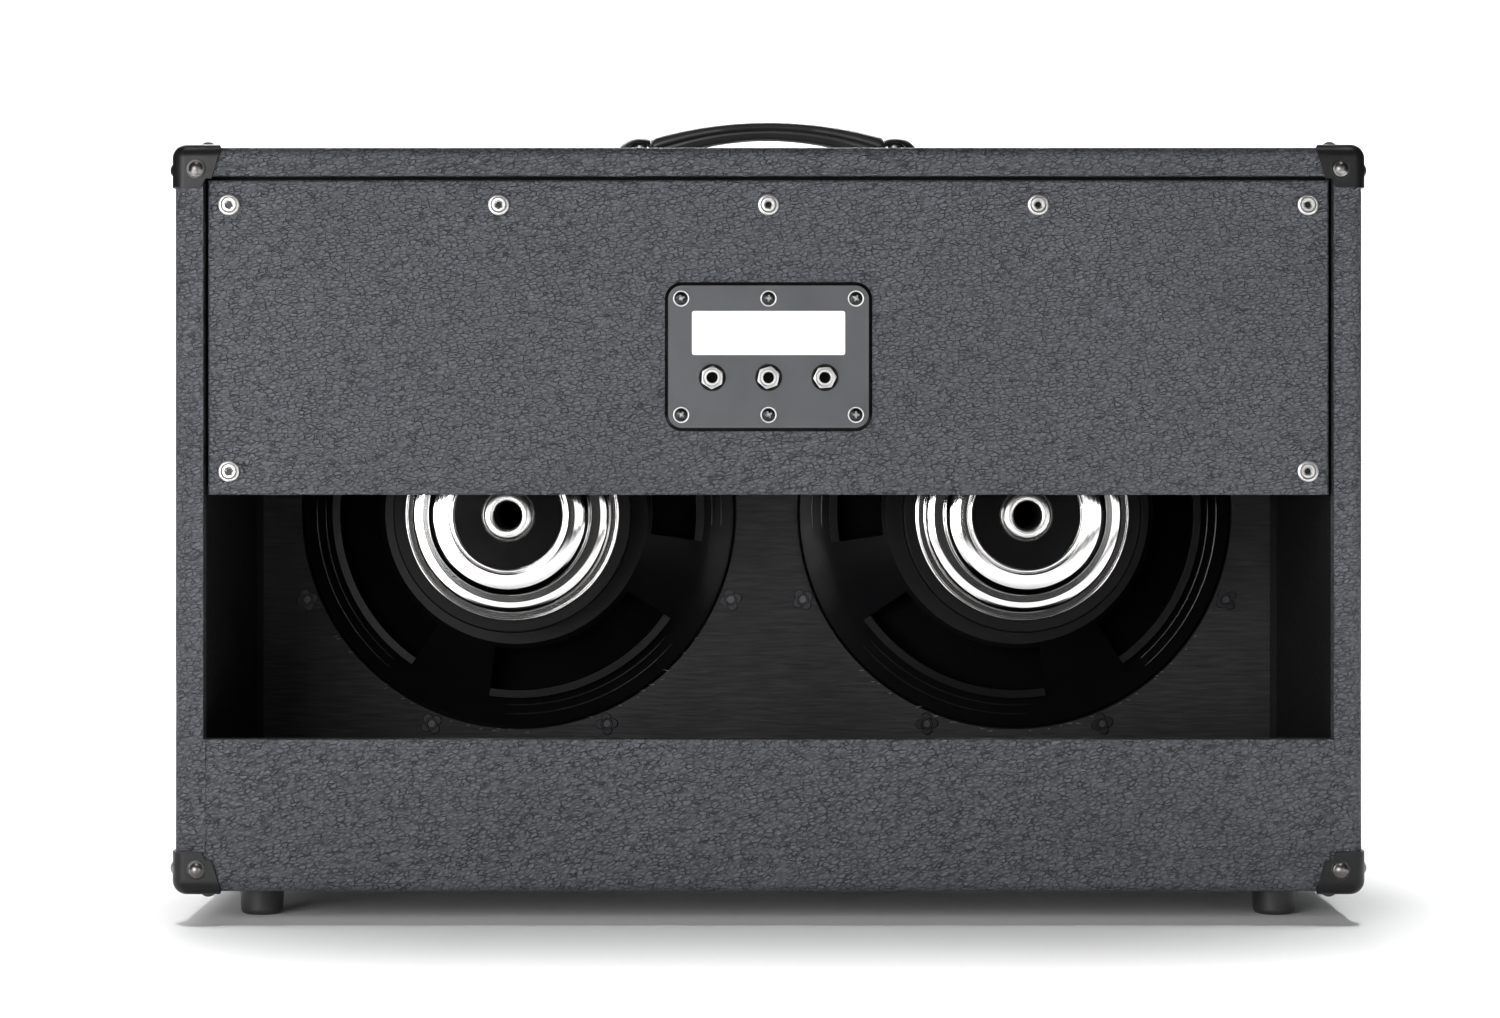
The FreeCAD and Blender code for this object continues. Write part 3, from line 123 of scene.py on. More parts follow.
# Cross-head screws: head, cross recess, shank as (radius, length), and turn from one screw to the next
PLATE_SCREW = {
    "radius": 3.6, "rim": 0.45, "crown": 0.95, "reach": 2.3, "width": 0.72, "depth": 1.2,
    "shank": (1.6, 12.0), "turn": 0.55,
}
FOOT_SCREW = {
    "radius": 4.3, "rim": 1.4, "crown": 0.8, "reach": 2.4, "width": 0.8, "depth": 1.3,
    "shank": (2.1, 18.0), "turn": 0.0,
}
HANDLE_SCREW = {**FOOT_SCREW, "rim": 1.5, "crown": 1.2, "shank": (2.3, 22.0)}
RECESS_POWER = 6
RECESS_TAPER = 2
# Recess faces deeper than this share of the recess depth take the painted recess tone.
RECESS_SHARE = 0.2
HEAD_RINGS = 26
HEAD_SEAT = -0.01
SHANK_POINT = 4.0

# Bright rings round the screws of the jack plate
RING_PROFILE = ((3.95, 0.0), (4.7, 0.0), (4.7, 0.3), (4.58, 0.68), (4.4, 0.74), (4.2, 0.7), (3.95, 0.3))

# Domed screws of the corner protectors
DOME_RADIUS = 4.4
DOME_HEIGHT = 2.3
DOME_RIM = 0.35
DOME_STEPS = 8
# Thin near-black ring under each domed head: painted shadow round the screw.
SHADOW_RING_PROFILE = ((4.3, 0.0), (5.7, 0.0), (5.5, 0.14), (4.3, 0.14))
CORNER_SHANK = (1.35, 11.0)

# Rubber feet
FOOT_PROFILE = (
    (5.5, 0.0), (9.4, 0.0), (11.6, 0.7), (12.5, 2.6), (13.5, 20.0), (2.2, 20.0), (2.2, 14.0), (5.5, 14.0),
)

# Jack plate: edge rounding, and how far a face may turn from the rear before it is painted near-black as
# shade along the edge
PLATE_SOFTNESS = 0.35
PLATE_RIM_LIMIT = 0.985

# Blank label
LABEL_WIDTH = 89.2
LABEL_HEIGHT = 25.6
LABEL_RISE = 13.8
LABEL_THICKNESS = 0.15
LABEL_CORNER = 1.4
CORNER_POINTS = 6

# Jack sockets
NUT_FLATS = 11.9
NUT_CHAMFER = 0.55
NUT_BORE = 4.75
NUT_LAND = 0.97
NUT_EDGE = 0.1
NUT_MOUTH = 0.5
NUT_MOUTH_DEPTH = 0.4
NUT_TURNS = (4.0, 18.0, 27.0)
NUT_SEGMENTS = 72
JACK_WASHER_PROFILE = ((4.75, 0.0), (7.9, 0.0), (7.9, 1.0), (4.75, 1.0))
SOCKET_SOFTNESS = 0.25

# Pieces turned on every solid of a node: piece, node, profile, rounding, axis, segments, finish, record slot
TURNED_SETS = (
    ("finishing_washers", "back_panel_cup_washers", WASHER_PROFILE, 0.2, Y_INDEX, MEDIUM_SEGMENTS,
     "nickel", "nickel"),
    ("plate_rings", "jack_plate_rings", RING_PROFILE, 0.08, Y_INDEX, MEDIUM_SEGMENTS,
     "ring_nickel", "nickel"),
    ("rubber_feet", "feet", FOOT_PROFILE, 1.6, Z_INDEX, FOOT_SEGMENTS, "rubber", "rubber"),
    ("socket_washers", "jack_washers", JACK_WASHER_PROFILE, 0.3, Y_INDEX, MEDIUM_SEGMENTS,
     "gloss_rim", "black_steel"),
)

# Tee nuts: barrel, rings of the petals as (inset, height), and collar
TEE_PETALS = 4
TEE_PETAL_CENTRE = 4.15
TEE_PETAL_RADIUS = 3.05
TEE_WAIST = 4.5
TEE_TURNS = (0.2, 0.9, 0.5, 0.0, 0.7, 1.1)
TEE_THICKNESS = 1.3
TEE_BARREL = ((2.45, -9.0), (3.6, -9.0), (3.6, 0.0))
TEE_RINGS = ((0.0, 0.0), (0.0, 0.95), (0.35, TEE_THICKNESS))
TEE_COLLAR = ((3.9, TEE_THICKNESS), (3.5, 1.65), (2.8, 1.65), (2.45, 1.1))
TEE_SEGMENTS = 96

# Handle strap: arches of its crest and underside, and half of its section as (width, share of the height)
STRAP_ARCH = 262.0
STRAP_UNDERSIDE = 15.8
STRAP_UNDER_ARCH = 180.0
STRAP_CLEARANCE = 1.0
STRAP_STATIONS = 72
STRAP_END = 3.5
STRAP_END_SWELL = 0.72
STRAP_SECTION = (
    (0.0, 0.0), (7.0, 0.0), (8.6, 0.04), (9.3, 0.10), (10.7, 0.28), (10.95, 0.31), (10.75, 0.40),
    (9.7, 0.43), (9.8, 0.46), (11.8, 0.47), (13.0, 0.52), (13.5, 0.60), (13.2, 0.70), (11.8, 0.82),
    (8.6, 0.92), (4.4, 0.98), (0.0, 1.0),
)

# Drivers: profiles are (radius, depth) in millimetres from the rear face of the magnet
COVER_PROFILE = (
    (66.0, 0.0), (67.2, 0.2), (67.3, 1.1), (66.3, 1.35), (65.7, 0.7), (61.9, 0.6), (61.5, 1.8),
    (61.4, 13.0), (61.3, 14.6), (60.8, 15.7), (60.0, 16.22), (58.2, 16.62), (56.2, 16.9), (55.2, 16.97),
    (50.4, 17.0), (50.0, 17.5), (49.9, 35.0), (49.6, 36.6), (48.8, 38.0), (47.6, 39.0), (46.0, 39.7),
    (44.0, 40.18), (41.5, 40.58), (39.0, 40.86), (37.0, 41.0), (36.4, 40.7), (36.2, 39.8), (35.7, 39.8),
    (35.5, 40.3), (34.4, 40.5), (34.0, 40.2), (33.9, 37.0), (15.3, 37.0), (15.3, 36.0), (36.0, 36.0),
    (36.9, 39.3), (42.0, 39.3), (45.6, 38.4), (48.2, 36.0), (48.8, 33.0), (48.8, 15.9), (57.4, 15.5),
    (60.2, 12.0), (60.3, 0.0),
)
DISC_PROFILE = ((16.4, 37.02), (33.6, 37.02), (33.6, 37.3), (16.4, 37.3))
YOKE_PROFILE = (
    (9.8, -30.0), (20.9, -30.0), (20.9, 0.0), (59.0, 0.0), (59.0, 8.0), (15.0, 8.0), (15.0, 43.4),
    (14.6, 44.5), (13.6, 45.05), (12.2, 45.4), (11.2, 45.5), (10.2, 45.42), (9.2, 45.1), (8.7, 44.4),
    (8.6, 42.0), (9.8, 38.0),
)
MAGNET_PROFILE = ((45.0, -22.0), (75.0, -22.0), (75.0, 0.0), (45.0, 0.0))

# Motor: piece, profile, rounding, finish, record slot, nodes; a driver's name follows a last _
MOTOR = (
    ("magnet", MAGNET_PROFILE, 1.6, "ferrite", "ferrite", ("magnet_ring_",)),
    ("cover", COVER_PROFILE, 0.3, "polished_cover_", "polished_cover", ("magnet_cover_",)),
    ("cover_disc", DISC_PROFILE, 0.12, "printed_disc", "black_plastic", ()),
    ("vent_yoke", YOKE_PROFILE, 0.3, "vent_steel_", "steel", ("yoke_",)),
)

# Beads round the basket's windows: radius and depth from the front of the baffle, and the first arm's angle
WINDOW_BEADS = ((125.0, 20.9), (131.0, 17.95))
BEAD_RADIUS = 0.75
BEAD_SPAN = 54.0
BEAD_STEPS = 40
BEAD_SIDES = 8
BEAD_POWER = 6
BEAD_END = 0.02
WINDOW_COUNT = 4
WINDOW_APART = 90.0
FIRST_ARMS = {"left": 67.5, "right": 22.0}

# Moving parts: depths are from the front of the baffle
CONE_RIM = 125.0
CONE_NECK = 22.9
CONE_RIM_DEPTH = 2.0
CONE_NECK_DEPTH = 41.0
CONE_THICKNESS = 0.9
CONE_RIBS = 5
CONE_RIB_SPAN = (0.42, 0.86)
CONE_RIB_HEIGHT = 0.5
CONE_STEPS = 60
EDGE_OUTER = 143.5
EDGE_RISE = 133.6
EDGE_FRONT = -2.3
EDGE_THICKNESS = 0.8
EDGE_PLEATS = 2
EDGE_PLEAT_HEIGHT = 0.55
EDGE_STEPS = 32
CAP_RIM = 34.0
CAP_HEIGHT = 9.0
CAP_STEPS = 10
CAP_THICKNESS = 0.8
SPIDER_OUTER = 82.0
SPIDER_INNER_DEPTH = 43.6
SPIDER_OUTER_DEPTH = 45.3
SPIDER_THICKNESS = 0.35
SPIDER_PLEATS = 7
SPIDER_PLEAT_HEIGHT = 0.45
SPIDER_LAND = 6.0
SPIDER_STEPS = 70

# Grille cloth
CLOTH_COLUMNS = 66
CLOTH_ROWS = 40
CLOTH_TURN = 1.2
CLOTH_TURN_STEPS = 4
CLOTH_RETURN = 15.0

# Splinters along the cut-outs of the baffle
SPLINTER_SEED = 7
SPLINTER_COUNT = 26
SPLINTER_RADIUS = 141.3
SPLINTER_SCATTER = 1.5
SPLINTER_LENGTH = (1.5, 4.5)
SPLINTER_WIDTH = 0.35
SPLINTER_LIFT = 0.5
SPLINTER_RISE = (0.02, 0.15)
SPLINTER_SLANT = 0.4
SPLINTER_ARC = (212.0, 328.0)

# Pieces that keep the form of their solid: node, finish and record slot, edge rounding in millimetres
SOFT_EDGES = (
    ("cabinet_covering", "vinyl", 1.1),
    ("upper_back_covering", "vinyl", 0.5),
    ("corner_protectors", "corner_plastic", 0.4),
    ("basket_left", "basket_paint", 0.45),
    ("basket_right", "basket_paint", 0.45),
    ("handle_caps", "black_plastic", 0.4),
    ("grille_fixing_pads", "black_plastic", 0.8),
    ("terminal_strip_left", "fibre", 0.2),
    ("terminal_strip_right", "fibre", 0.2),
)

# Solids that stay as they are, by finish
STAY = {
    "painted_ply": (
        "top_panel", "bottom_panel", "left_side_panel", "right_side_panel", "upper_back_panel",
        "lower_back_panel", "back_panel_cleats", "baffle_edge_beads", "grille_frame",
    ),
    "baffle_ply": ("baffle_board",),
    "steel": ("handle_core", "top_plate_left", "top_plate_right"),
    "black_steel": ("speaker_bolts",),
    "coil": ("voice_coil_left", "voice_coil_right"),
    "gasket": ("front_gasket_left", "front_gasket_right"),
}

# Finishes: sizes and depths are in metres, and noise has more detail from smooth to rich
SMOOTH = 1.0
SOFT = 2.0
PLAIN = 3.0
FINE = 4.0
RICH = 5.0
UNIT = (0.0, 1.0)

# Leather grain of the covering
VINYL_BASE = (0.03, 0.0315, 0.036)
# The dark colour is painted shade in the creases and low spots; the light colour is the tops of the pebbles.
VINYL_DARK = (0.014, 0.0146, 0.0162)
VINYL_LIGHT = (0.0745, 0.0784, 0.0881)
VINYL_GLOSS = (0.62, 0.46)
VINYL_SPECULAR = 0.2
VINYL_CLOUDS = 0.09
VINYL_CLOUD_RANGE = ((0.3, 0.7), (0.9, 1.0))
GRAIN_SLANT = -17
GRAIN_STRETCH = (1.0, 1.3, 2.1)
GRAIN_WANDER = (0.004, 0.0025)
GRAIN_DEPTH = 0.0008
PEBBLE_SIZE = 0.0026
PEBBLE_RANGE = ((0.34, 0.66), (0.6, 1.0))
PATCH_SIZE = 0.007
PATCH_RANGE = ((0.38, 0.62), (0.0, 0.65))
CREASE_SIZE = 0.0042
CREASE_GROOVE = 0.17

# Handling marks on the jack plate
PLATE_TINTS = ((0.0307, 0.0322, 0.0362), (0.0262, 0.0275, 0.0308))
PLATE_GLOSS = (0.48, 0.36)
PLATE_GRAIN = 0.0004
PLATE_GRAIN_DEPTH = 0.00002
MARK_SIZE = 0.022
MARK_WANDER = (0.02, 0.02)
MARK_RANGE = (0.45, 0.7)

# Even coats: two colours, roughness or its two ends, clouds and grain as (size, detail), depth, specular
COATS = {
    "basket_paint": (
        (0.0022, 0.0022, 0.0025), (0.004, 0.004, 0.0046), (0.27, 0.35), (0.02, RICH), (0.0025, SOFT),
        0.00003, 0.1,
    ),
    "label_paper": ((0.82, 0.82, 0.82), (0.9, 0.9, 0.9), 0.45, (0.02, PLAIN), (0.0008, FINE), 0.00001, 0.5),
    "studio_sweep": ((0.89, 0.89, 0.89), (0.92, 0.92, 0.92), 0.85, (0.8, SOFT), None, 0.0, 0.5),
}

# Moulded plastic and rubber: colour, roughness, grain, depth, specular
MOULDED = {
    "corner_plastic": ((0.0046, 0.0047, 0.0051), 0.38, 0.0008, 0.00003, 0.2),
    "black_plastic": ((0.011, 0.011, 0.0115), 0.38, 0.0006, 0.00003, 0.5),
    # Near-black gloss: the real black washers of the sockets, and painted shade at the plate's edge and
    # round the domed screws.
    "gloss_rim": ((0.0015, 0.0015, 0.0016), 0.22, 0.0008, 0.00002, 0.3),
    "handle_grip": ((0.03, 0.03, 0.031), 0.38, 0.0009, 0.00005, 0.5),
    "rubber": ((0.016, 0.016, 0.0165), 0.48, 0.0005, 0.00004, 0.5),
    "printed_disc": ((0.003, 0.003, 0.0033), 0.1, 0.002, 0.00001, 0.4),
    "bead_gloss": ((0.006, 0.006, 0.0066), 0.2, 0.0012, 0.00001, 0.45),
}
MOULDED_SPREAD = (0.8, 1.25)
MOULDED_CLOUDS = (0.03, FINE)

# Metals with fine lines: colour, roughness, width of the lines, depth
METALS = {
    "nickel": ((0.5, 0.495, 0.485), 0.36, 0.0004, 0.000002),
    "satin_nickel": ((0.46, 0.455, 0.447), 0.42, 0.0004, 0.000002),
    "ring_nickel": ((0.94, 0.93, 0.91), 0.46, 0.0004, 0.000002),
    "dark_nickel": ((0.15, 0.146, 0.142), 0.32, 0.0006, 0.000001),
    "steel": ((0.56, 0.56, 0.55), 0.38, 0.0005, 0.00001),
    # Tone painted in cross recesses: lighter than black heads as painted highlight, darker than nickel heads
    # as painted shade.
    "worn_steel": ((0.3, 0.3, 0.3), 0.4, 0.0005, 0.000003),
    # Black screw heads, and painted shade inside the hexagon sockets of the back screws.
    "black_screw": ((0.022, 0.022, 0.023), 0.26, 0.0008, 0.000004),
    "black_steel": ((0.05, 0.05, 0.053), 0.4, 0.0005, 0.00001),
    "tee_steel": ((0.026, 0.026, 0.028), 0.4, 0.0006, 0.000004),
    "coil": ((0.6, 0.42, 0.28), 0.4, 0.0004, 0.00001),
}
METAL_STRETCH = (0.15, 1.0, 1.0)
METAL_CLOUDS = 0.004
METAL_DULL = 0.88
METAL_GLOSS = (0.8, 1.3)

# Metals turned about a driver's axis, for each driver: colour, roughness, width of the rings, depth
TURNED = {
    "polished_cover_": ((0.82, 0.81, 0.8), 0.085, 0.0006, 0.0000003),
    "vent_steel_": ((0.7, 0.69, 0.68), 0.28, 0.0005, 0.00001),
}
TURNED_PLANE = (1.0, 0.0, 1.0)
TURNED_CLOUDS = 0.012
TURNED_DULL = 0.92
TURNED_GLOSS = (0.8, 1.2)

# Stained plywood: dark and light colour, depth of the grain, specular
PLY = {
    "baffle_ply": ((0.0066, 0.0065, 0.007), (0.022, 0.0215, 0.0238), 0.0002, 0.3),
    "painted_ply": ((0.003, 0.003, 0.0032), (0.007, 0.007, 0.0074), 0.00012, 0.15),
}
PLY_WANDER = (0.04, 0.003)
PLY_STRETCH = (0.07, 1.0, 1.0)
PLY_GRAIN = 0.0017
PLY_CLOUDS = 0.12
PLY_TONES = (0.12, 0.42)
PLY_GLOSS = (0.82, 0.6)
PORE_SIZE = 0.0008
PORE_RANGE = (0.35, 0.55)
PORE_SHARE = 0.6

# Cloth: colours of warp and weft, width of a thread, depth, roughness
WOVEN = {
    "grille_cloth": ((0.012, 0.012, 0.012), (0.03, 0.03, 0.031), 0.0013, 0.0003, 0.85),
    "spider_cloth": ((0.35, 0.2, 0.08), (0.45, 0.28, 0.12), 0.0011, 0.0002, 0.7),
}
WAVE_RANGE = (-1.0, 1.0)
WEAVE_LIFT = (0.0, 0.6)
WEAVE_TONES = (-0.4, 0.4)
FUZZ_SHARE = 0.3

# Paper, board and cork: colour, roughness, size of the fibres, depth, specular
FIBROUS = {
    "cone_paper": ((0.0016, 0.0016, 0.0016), 0.9, 0.0009, 0.00015, 0.05),
    "gasket": ((0.05, 0.045, 0.04), 0.9, 0.0012, 0.0002, 0.5),
    "fibre": ((0.11, 0.06, 0.035), 0.7, 0.0008, 0.0001, 0.5),
    "splinter": ((0.2, 0.185, 0.17), 0.8, 0.0004, 0.00005, 0.5),
    "ferrite": ((0.0045, 0.0045, 0.0047), 0.36, 0.0006, 0.00002, 0.06),
}
FIBRE_WANDER = (4, 3)
FIBRE_CLOUDS = 0.04
FIBRE_SPREAD = (0.6, 1.5)
FLECK_SIZE = 3
FLECK_GROOVE = 0.3
FLECK_SHARE = 0.4


# Materials by name, filled as they are made
FINISHES = {}


def scaled(values, share):
    return tuple(value * share for value in values)


class Look:
    """One material's node tree, with short ways to add its nodes."""

    def __init__(self, name, colour, roughness, metallic=0.0, specular=0.5):
        FINISHES[name] = bpy.data.materials.new(name)
        FINISHES[name].use_nodes = True
        self.tree = FINISHES[name].node_tree
        self.surface = self.tree.nodes["Principled BSDF"].inputs
        self.surface["Base Color"].default_value = (*colour, 1.0)
        self.surface["Roughness"].default_value = roughness
        self.surface["Metallic"].default_value = metallic
        self.surface["Specular IOR Level"].default_value = specular
        self.place = self.add("TexCoord", {}, {}).outputs["Object"]
        self.normal = None

    def add(self, kind, values, links, **settings):
        """New node with its settings, its constant inputs and its linked inputs."""
        node = self.tree.nodes.new("ShaderNode" + kind)
        for key, value in settings.items():
            setattr(node, key, value)
        for key, value in values.items():
            node.inputs[key].default_value = value
        for key, source in links.items():
            self.tree.links.new(source, node.inputs[key])
        return node

    def mapped(self, setting, value, place=None):
        """The place, stretched by a Scale or turned by a Rotation."""
        return self.add("Mapping", {setting: value}, {"Vector": place or self.place}).outputs["Vector"]

    def noise(self, size, detail, place=None, output="Fac"):
        """Cloudy value whose features are about as large as the size."""
        values = {"Scale": 1 / size, "Detail": detail}
        return self.add("TexNoise", values, {"Vector": place or self.place}).outputs[output]

    def wandered(self, size, distance, place=None):
        """The place, pushed about by noise."""
        links = {0: self.noise(size, SOFT, place, "Color"), 2: place or self.place}
        push = {1: (distance, distance, distance)}
        return self.add("VectorMath", push, links, operation="MULTIPLY_ADD").outputs["Vector"]

    def cells(self, size, place, groove):
        """Height of rounded cells parted by grooves; the groove is a share of the cell."""
        node = self.add("TexVoronoi", {"Scale": 1 / size}, {"Vector": place}, feature="DISTANCE_TO_EDGE")
        return self.ranged(node.outputs["Distance"], (0.0, groove), UNIT, "SMOOTHSTEP")

    def ranged(self, source, given, wanted=UNIT, kind="LINEAR"):
        values = dict(zip(("From Min", "From Max", "To Min", "To Max"), (*given, *wanted)))
        return self.add("MapRange", values, {"Value": source}, interpolation_type=kind).outputs["Result"]

    def combined(self, operation, *sources):
        """Math node on one or two values, each a socket or a constant."""
        values = {i: source for i, source in enumerate(sources) if isinstance(source, float)}
        links = {i: source for i, source in enumerate(sources) if i not in values}
        return self.add("Math", values, links, operation=operation).outputs["Value"]

    def tint(self, amount, low, high):
        """Colours the surface between two colours."""
        node = self.add("Mix", {}, {"Factor": amount}, data_type="RGBA")
        ends = [socket for socket in node.inputs if socket.type == "RGBA"]
        for socket, colour in zip(ends, (low, high)):
            socket.default_value = (*colour, 1.0)
        result = [socket for socket in node.outputs if socket.type == "RGBA"][0]
        self.tree.links.new(result, self.surface["Base Color"])

    def rough(self, amount, ends):
        self.tree.links.new(self.ranged(amount, UNIT, ends), self.surface["Roughness"])

    def bump(self, height, depth):
        """Relief on top of any relief already added."""
        links = {"Height": height}
        if self.normal is not None:
            links["Normal"] = self.normal
        self.normal = self.add("Bump", {"Distance": depth}, links).outputs["Normal"]
        self.tree.links.new(self.normal, self.surface["Normal"])


def vinyl():
    """Leather-grain covering: small slanted pebbles parted by creases that come and go, with painted shade
    in the creases and low spots.
    """
    look = Look("vinyl", VINYL_BASE, VINYL_GLOSS[0], specular=VINYL_SPECULAR)
    turned = look.mapped("Rotation", (0.0, radians(GRAIN_SLANT), 0.0))
    slanted = look.mapped("Scale", GRAIN_STRETCH, turned)
    wander = look.wandered(*GRAIN_WANDER, slanted)
    pebbles = look.ranged(look.noise(PEBBLE_SIZE, SMOOTH, wander), *PEBBLE_RANGE)
    patches = look.ranged(look.noise(PATCH_SIZE, SOFT, slanted), *PATCH_RANGE)
    creases = look.combined("MAXIMUM", look.cells(CREASE_SIZE, wander, CREASE_GROOVE), patches)
    relief = look.combined("MULTIPLY", pebbles, creases)
    look.bump(relief, GRAIN_DEPTH)
    clouds = look.ranged(look.noise(VINYL_CLOUDS, PLAIN), *VINYL_CLOUD_RANGE)
    # Colour follows the relief: painted shade in the creases and low spots, times faint real clouds of tone.
    look.tint(look.combined("MULTIPLY", relief, clouds), VINYL_DARK, VINYL_LIGHT)
    look.rough(relief, VINYL_GLOSS)


def coat(name, dark, light, gloss, clouds, grain, depth, specular):
    """Even coat: clouds of two colours, clouded gloss if it has two ends, and a fine grain."""
    clouded = isinstance(gloss, tuple)
    look = Look(name, light, gloss[0] if clouded else gloss, specular=specular)
    cloud = look.noise(*clouds)
    look.tint(cloud, dark, light)
    if clouded:
        look.rough(cloud, gloss)
    if grain:
        look.bump(look.noise(*grain), depth)


def moulded(name, colour, roughness, grain, depth, specular):
    """Moulded plastic or rubber with a fine grain and faint clouds in its gloss."""
    dark, light = [scaled(colour, share) for share in MOULDED_SPREAD]
    gloss = scaled(MOULDED_SPREAD, roughness)
    coat(name, dark, light, gloss, MOULDED_CLOUDS, (grain, PLAIN), depth, specular)


def plate_plastic():
    """Satin black plate with faint handling marks."""
    look = Look("plate_plastic", PLATE_TINTS[0], PLATE_GLOSS[0])
    marks = look.noise(MARK_SIZE, RICH, look.wandered(*MARK_WANDER))
    smears = look.ranged(marks, MARK_RANGE)
    look.tint(smears, *PLATE_TINTS)
    look.rough(smears, PLATE_GLOSS)
    look.bump(look.noise(PLATE_GRAIN, SOFT), PLATE_GRAIN_DEPTH)


def metal(name, colour, roughness, lines, depth):
    """Plated or bare metal with fine random lines and clouded gloss."""
    look = Look(name, colour, roughness, metallic=1.0)
    look.bump(look.noise(lines, FINE, look.mapped("Scale", METAL_STRETCH)), depth)
    clouds = look.noise(METAL_CLOUDS, PLAIN)
    look.tint(clouds, scaled(colour, METAL_DULL), colour)
    look.rough(clouds, scaled(METAL_GLOSS, roughness))


def turned_metal(name, centre, colour, roughness, pitch, depth):
    """Metal polished on a lathe: fine rings about the axis of a driver."""
    look = Look(name, colour, roughness, metallic=1.0)
    away = look.add("VectorMath", {1: centre}, {0: look.place}, operation="SUBTRACT").outputs["Vector"]
    flat = look.mapped("Scale", TURNED_PLANE, away)
    length = look.add("VectorMath", {}, {0: flat}, operation="LENGTH").outputs["Value"]
    values = {"Scale": 1 / pitch, "Detail": PLAIN}
    rings = look.add("TexNoise", values, {"W": length}, noise_dimensions="1D").outputs["Fac"]
    look.bump(rings, depth)
    look.tint(look.noise(TURNED_CLOUDS, PLAIN), scaled(colour, TURNED_DULL), colour)
    look.rough(rings, scaled(TURNED_GLOSS, roughness))


def stained_ply(name, dark, light, depth, specular):
    """Black-stained plywood with grain that runs across the cabinet."""
    look = Look(name, dark, PLY_GLOSS[0], specular=specular)
    along = look.mapped("Scale", PLY_STRETCH, look.wandered(*PLY_WANDER))
    grain = look.noise(PLY_GRAIN, RICH, along)
    mixed = look.combined("MULTIPLY", grain, look.noise(PLY_CLOUDS, PLAIN))
    look.tint(look.ranged(mixed, PLY_TONES), dark, light)
    look.bump(grain, depth)
    look.bump(look.ranged(look.noise(PORE_SIZE, SOFT, along), PORE_RANGE), depth * PORE_SHARE)
    look.rough(grain, PLY_GLOSS)


def woven(name, warp, weft, thread, depth, roughness):
    """Plain weave: threads over and under each other in both directions of the front."""
    look = Look(name, warp, roughness)
    place = look.add("SeparateXYZ", {}, {"Vector": look.place})
    waves = []
    for letter in ("X", "Z"):
        turn = look.combined("MULTIPLY", place.outputs[letter], pi / thread)
        waves.append(look.combined("SINE", turn))
    over = look.combined("MULTIPLY", *waves)
    bulge = look.combined("MULTIPLY", *[look.combined("ABSOLUTE", wave) for wave in waves])
    look.bump(look.combined("ADD", bulge, look.ranged(over, WAVE_RANGE, WEAVE_LIFT)), depth)
    look.bump(look.noise(thread * FUZZ_SHARE, PLAIN), depth * FUZZ_SHARE)
    look.tint(look.ranged(over, WEAVE_TONES), warp, weft)


def fibrous(name, colour, roughness, fibre, depth, specular):
    """Paper pulp, board or cork: short fibres and flecks."""
    look = Look(name, colour, roughness, specular=specular)
    fibres = look.noise(fibre, RICH, look.wandered(*scaled(FIBRE_WANDER, fibre)))
    look.bump(fibres, depth)
    look.bump(look.cells(fibre * FLECK_SIZE, look.place, FLECK_GROOVE), depth * FLECK_SHARE)
    mixed = look.combined("MULTIPLY", fibres, look.noise(FIBRE_CLOUDS, PLAIN))
    look.tint(mixed, *[scaled(colour, share) for share in FIBRE_SPREAD])


def hub(name, plane=0.0):
    """Point on the axis of a driver, at a plane across the depth."""
    low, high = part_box("magnet_ring_" + name)
    centre = (low + high) / 2
    return Vector((centre.x, plane, centre.z))


def make_materials():
    vinyl()
    plate_plastic()
    makers = (coat, moulded, metal, stained_ply, woven, fibrous)
    for make, table in zip(makers, (COATS, MOULDED, METALS, PLY, WOVEN, FIBROUS)):
        for name, values in table.items():
            make(name, *values)
    for side in NAMES:
        for start, values in TURNED.items():
            turned_metal(start + side, hub(side), *values)


# Mesh tools


def shade(bm):
    """Smooth faces, with sharp edges kept sharp."""
    bmesh.ops.recalc_face_normals(bm, faces=bm.faces)
    for face in bm.faces:
        face.smooth = True
    for edge in bm.edges:
        edge.smooth = len(edge.link_faces) != 2 or edge.calc_face_angle() < SHARP_LIMIT


def corner_normals(bm):
    """Normal of each face corner, weighted by area so that flats stay flat beside round edges."""
    areas = {face: face.calc_area() for face in bm.faces}
    normals = []
    for face in bm.faces:
        for corner in face.loops:
            total = Vector((0, 0, 0))
            for other in corner.vert.link_faces:
                if other.normal.dot(face.normal) > SMOOTH_LIMIT:
                    total += other.normal * areas[other]
            normals.append(total.normalized() if total.length > 0 else face.normal.copy())
    return normals


def placed(name, data):
    """New object in the scene."""
    thing = bpy.data.objects.new(name, data)
    bpy.context.collection.objects.link(thing)
    return thing


def new_mesh(name, bm, *finishes):
    """Shaded mesh with its materials."""
    shade(bm)
    mesh = bpy.data.meshes.new(name)
    bm.to_mesh(mesh)
    for finish in finishes:
        mesh.materials.append(FINISHES[finish])
    return mesh


def add_piece(name, bm, finish, nodes=(), body="cabinet"):
    """Object of a finished mesh, on its body and in place of its nodes."""
    mesh = new_mesh(name, bm, *(finish if isinstance(finish, tuple) else (finish,)))
    piece = placed(name, mesh)
    if body:
        bm.normal_update()
        mesh.normals_split_custom_set(corner_normals(bm))
        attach(piece, body)
    bm.free()
    if nodes:
        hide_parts(*nodes)
    return piece


def shares(count):
    """Even steps from 0 to 1."""
    return [k / count for k in range(count + 1)]


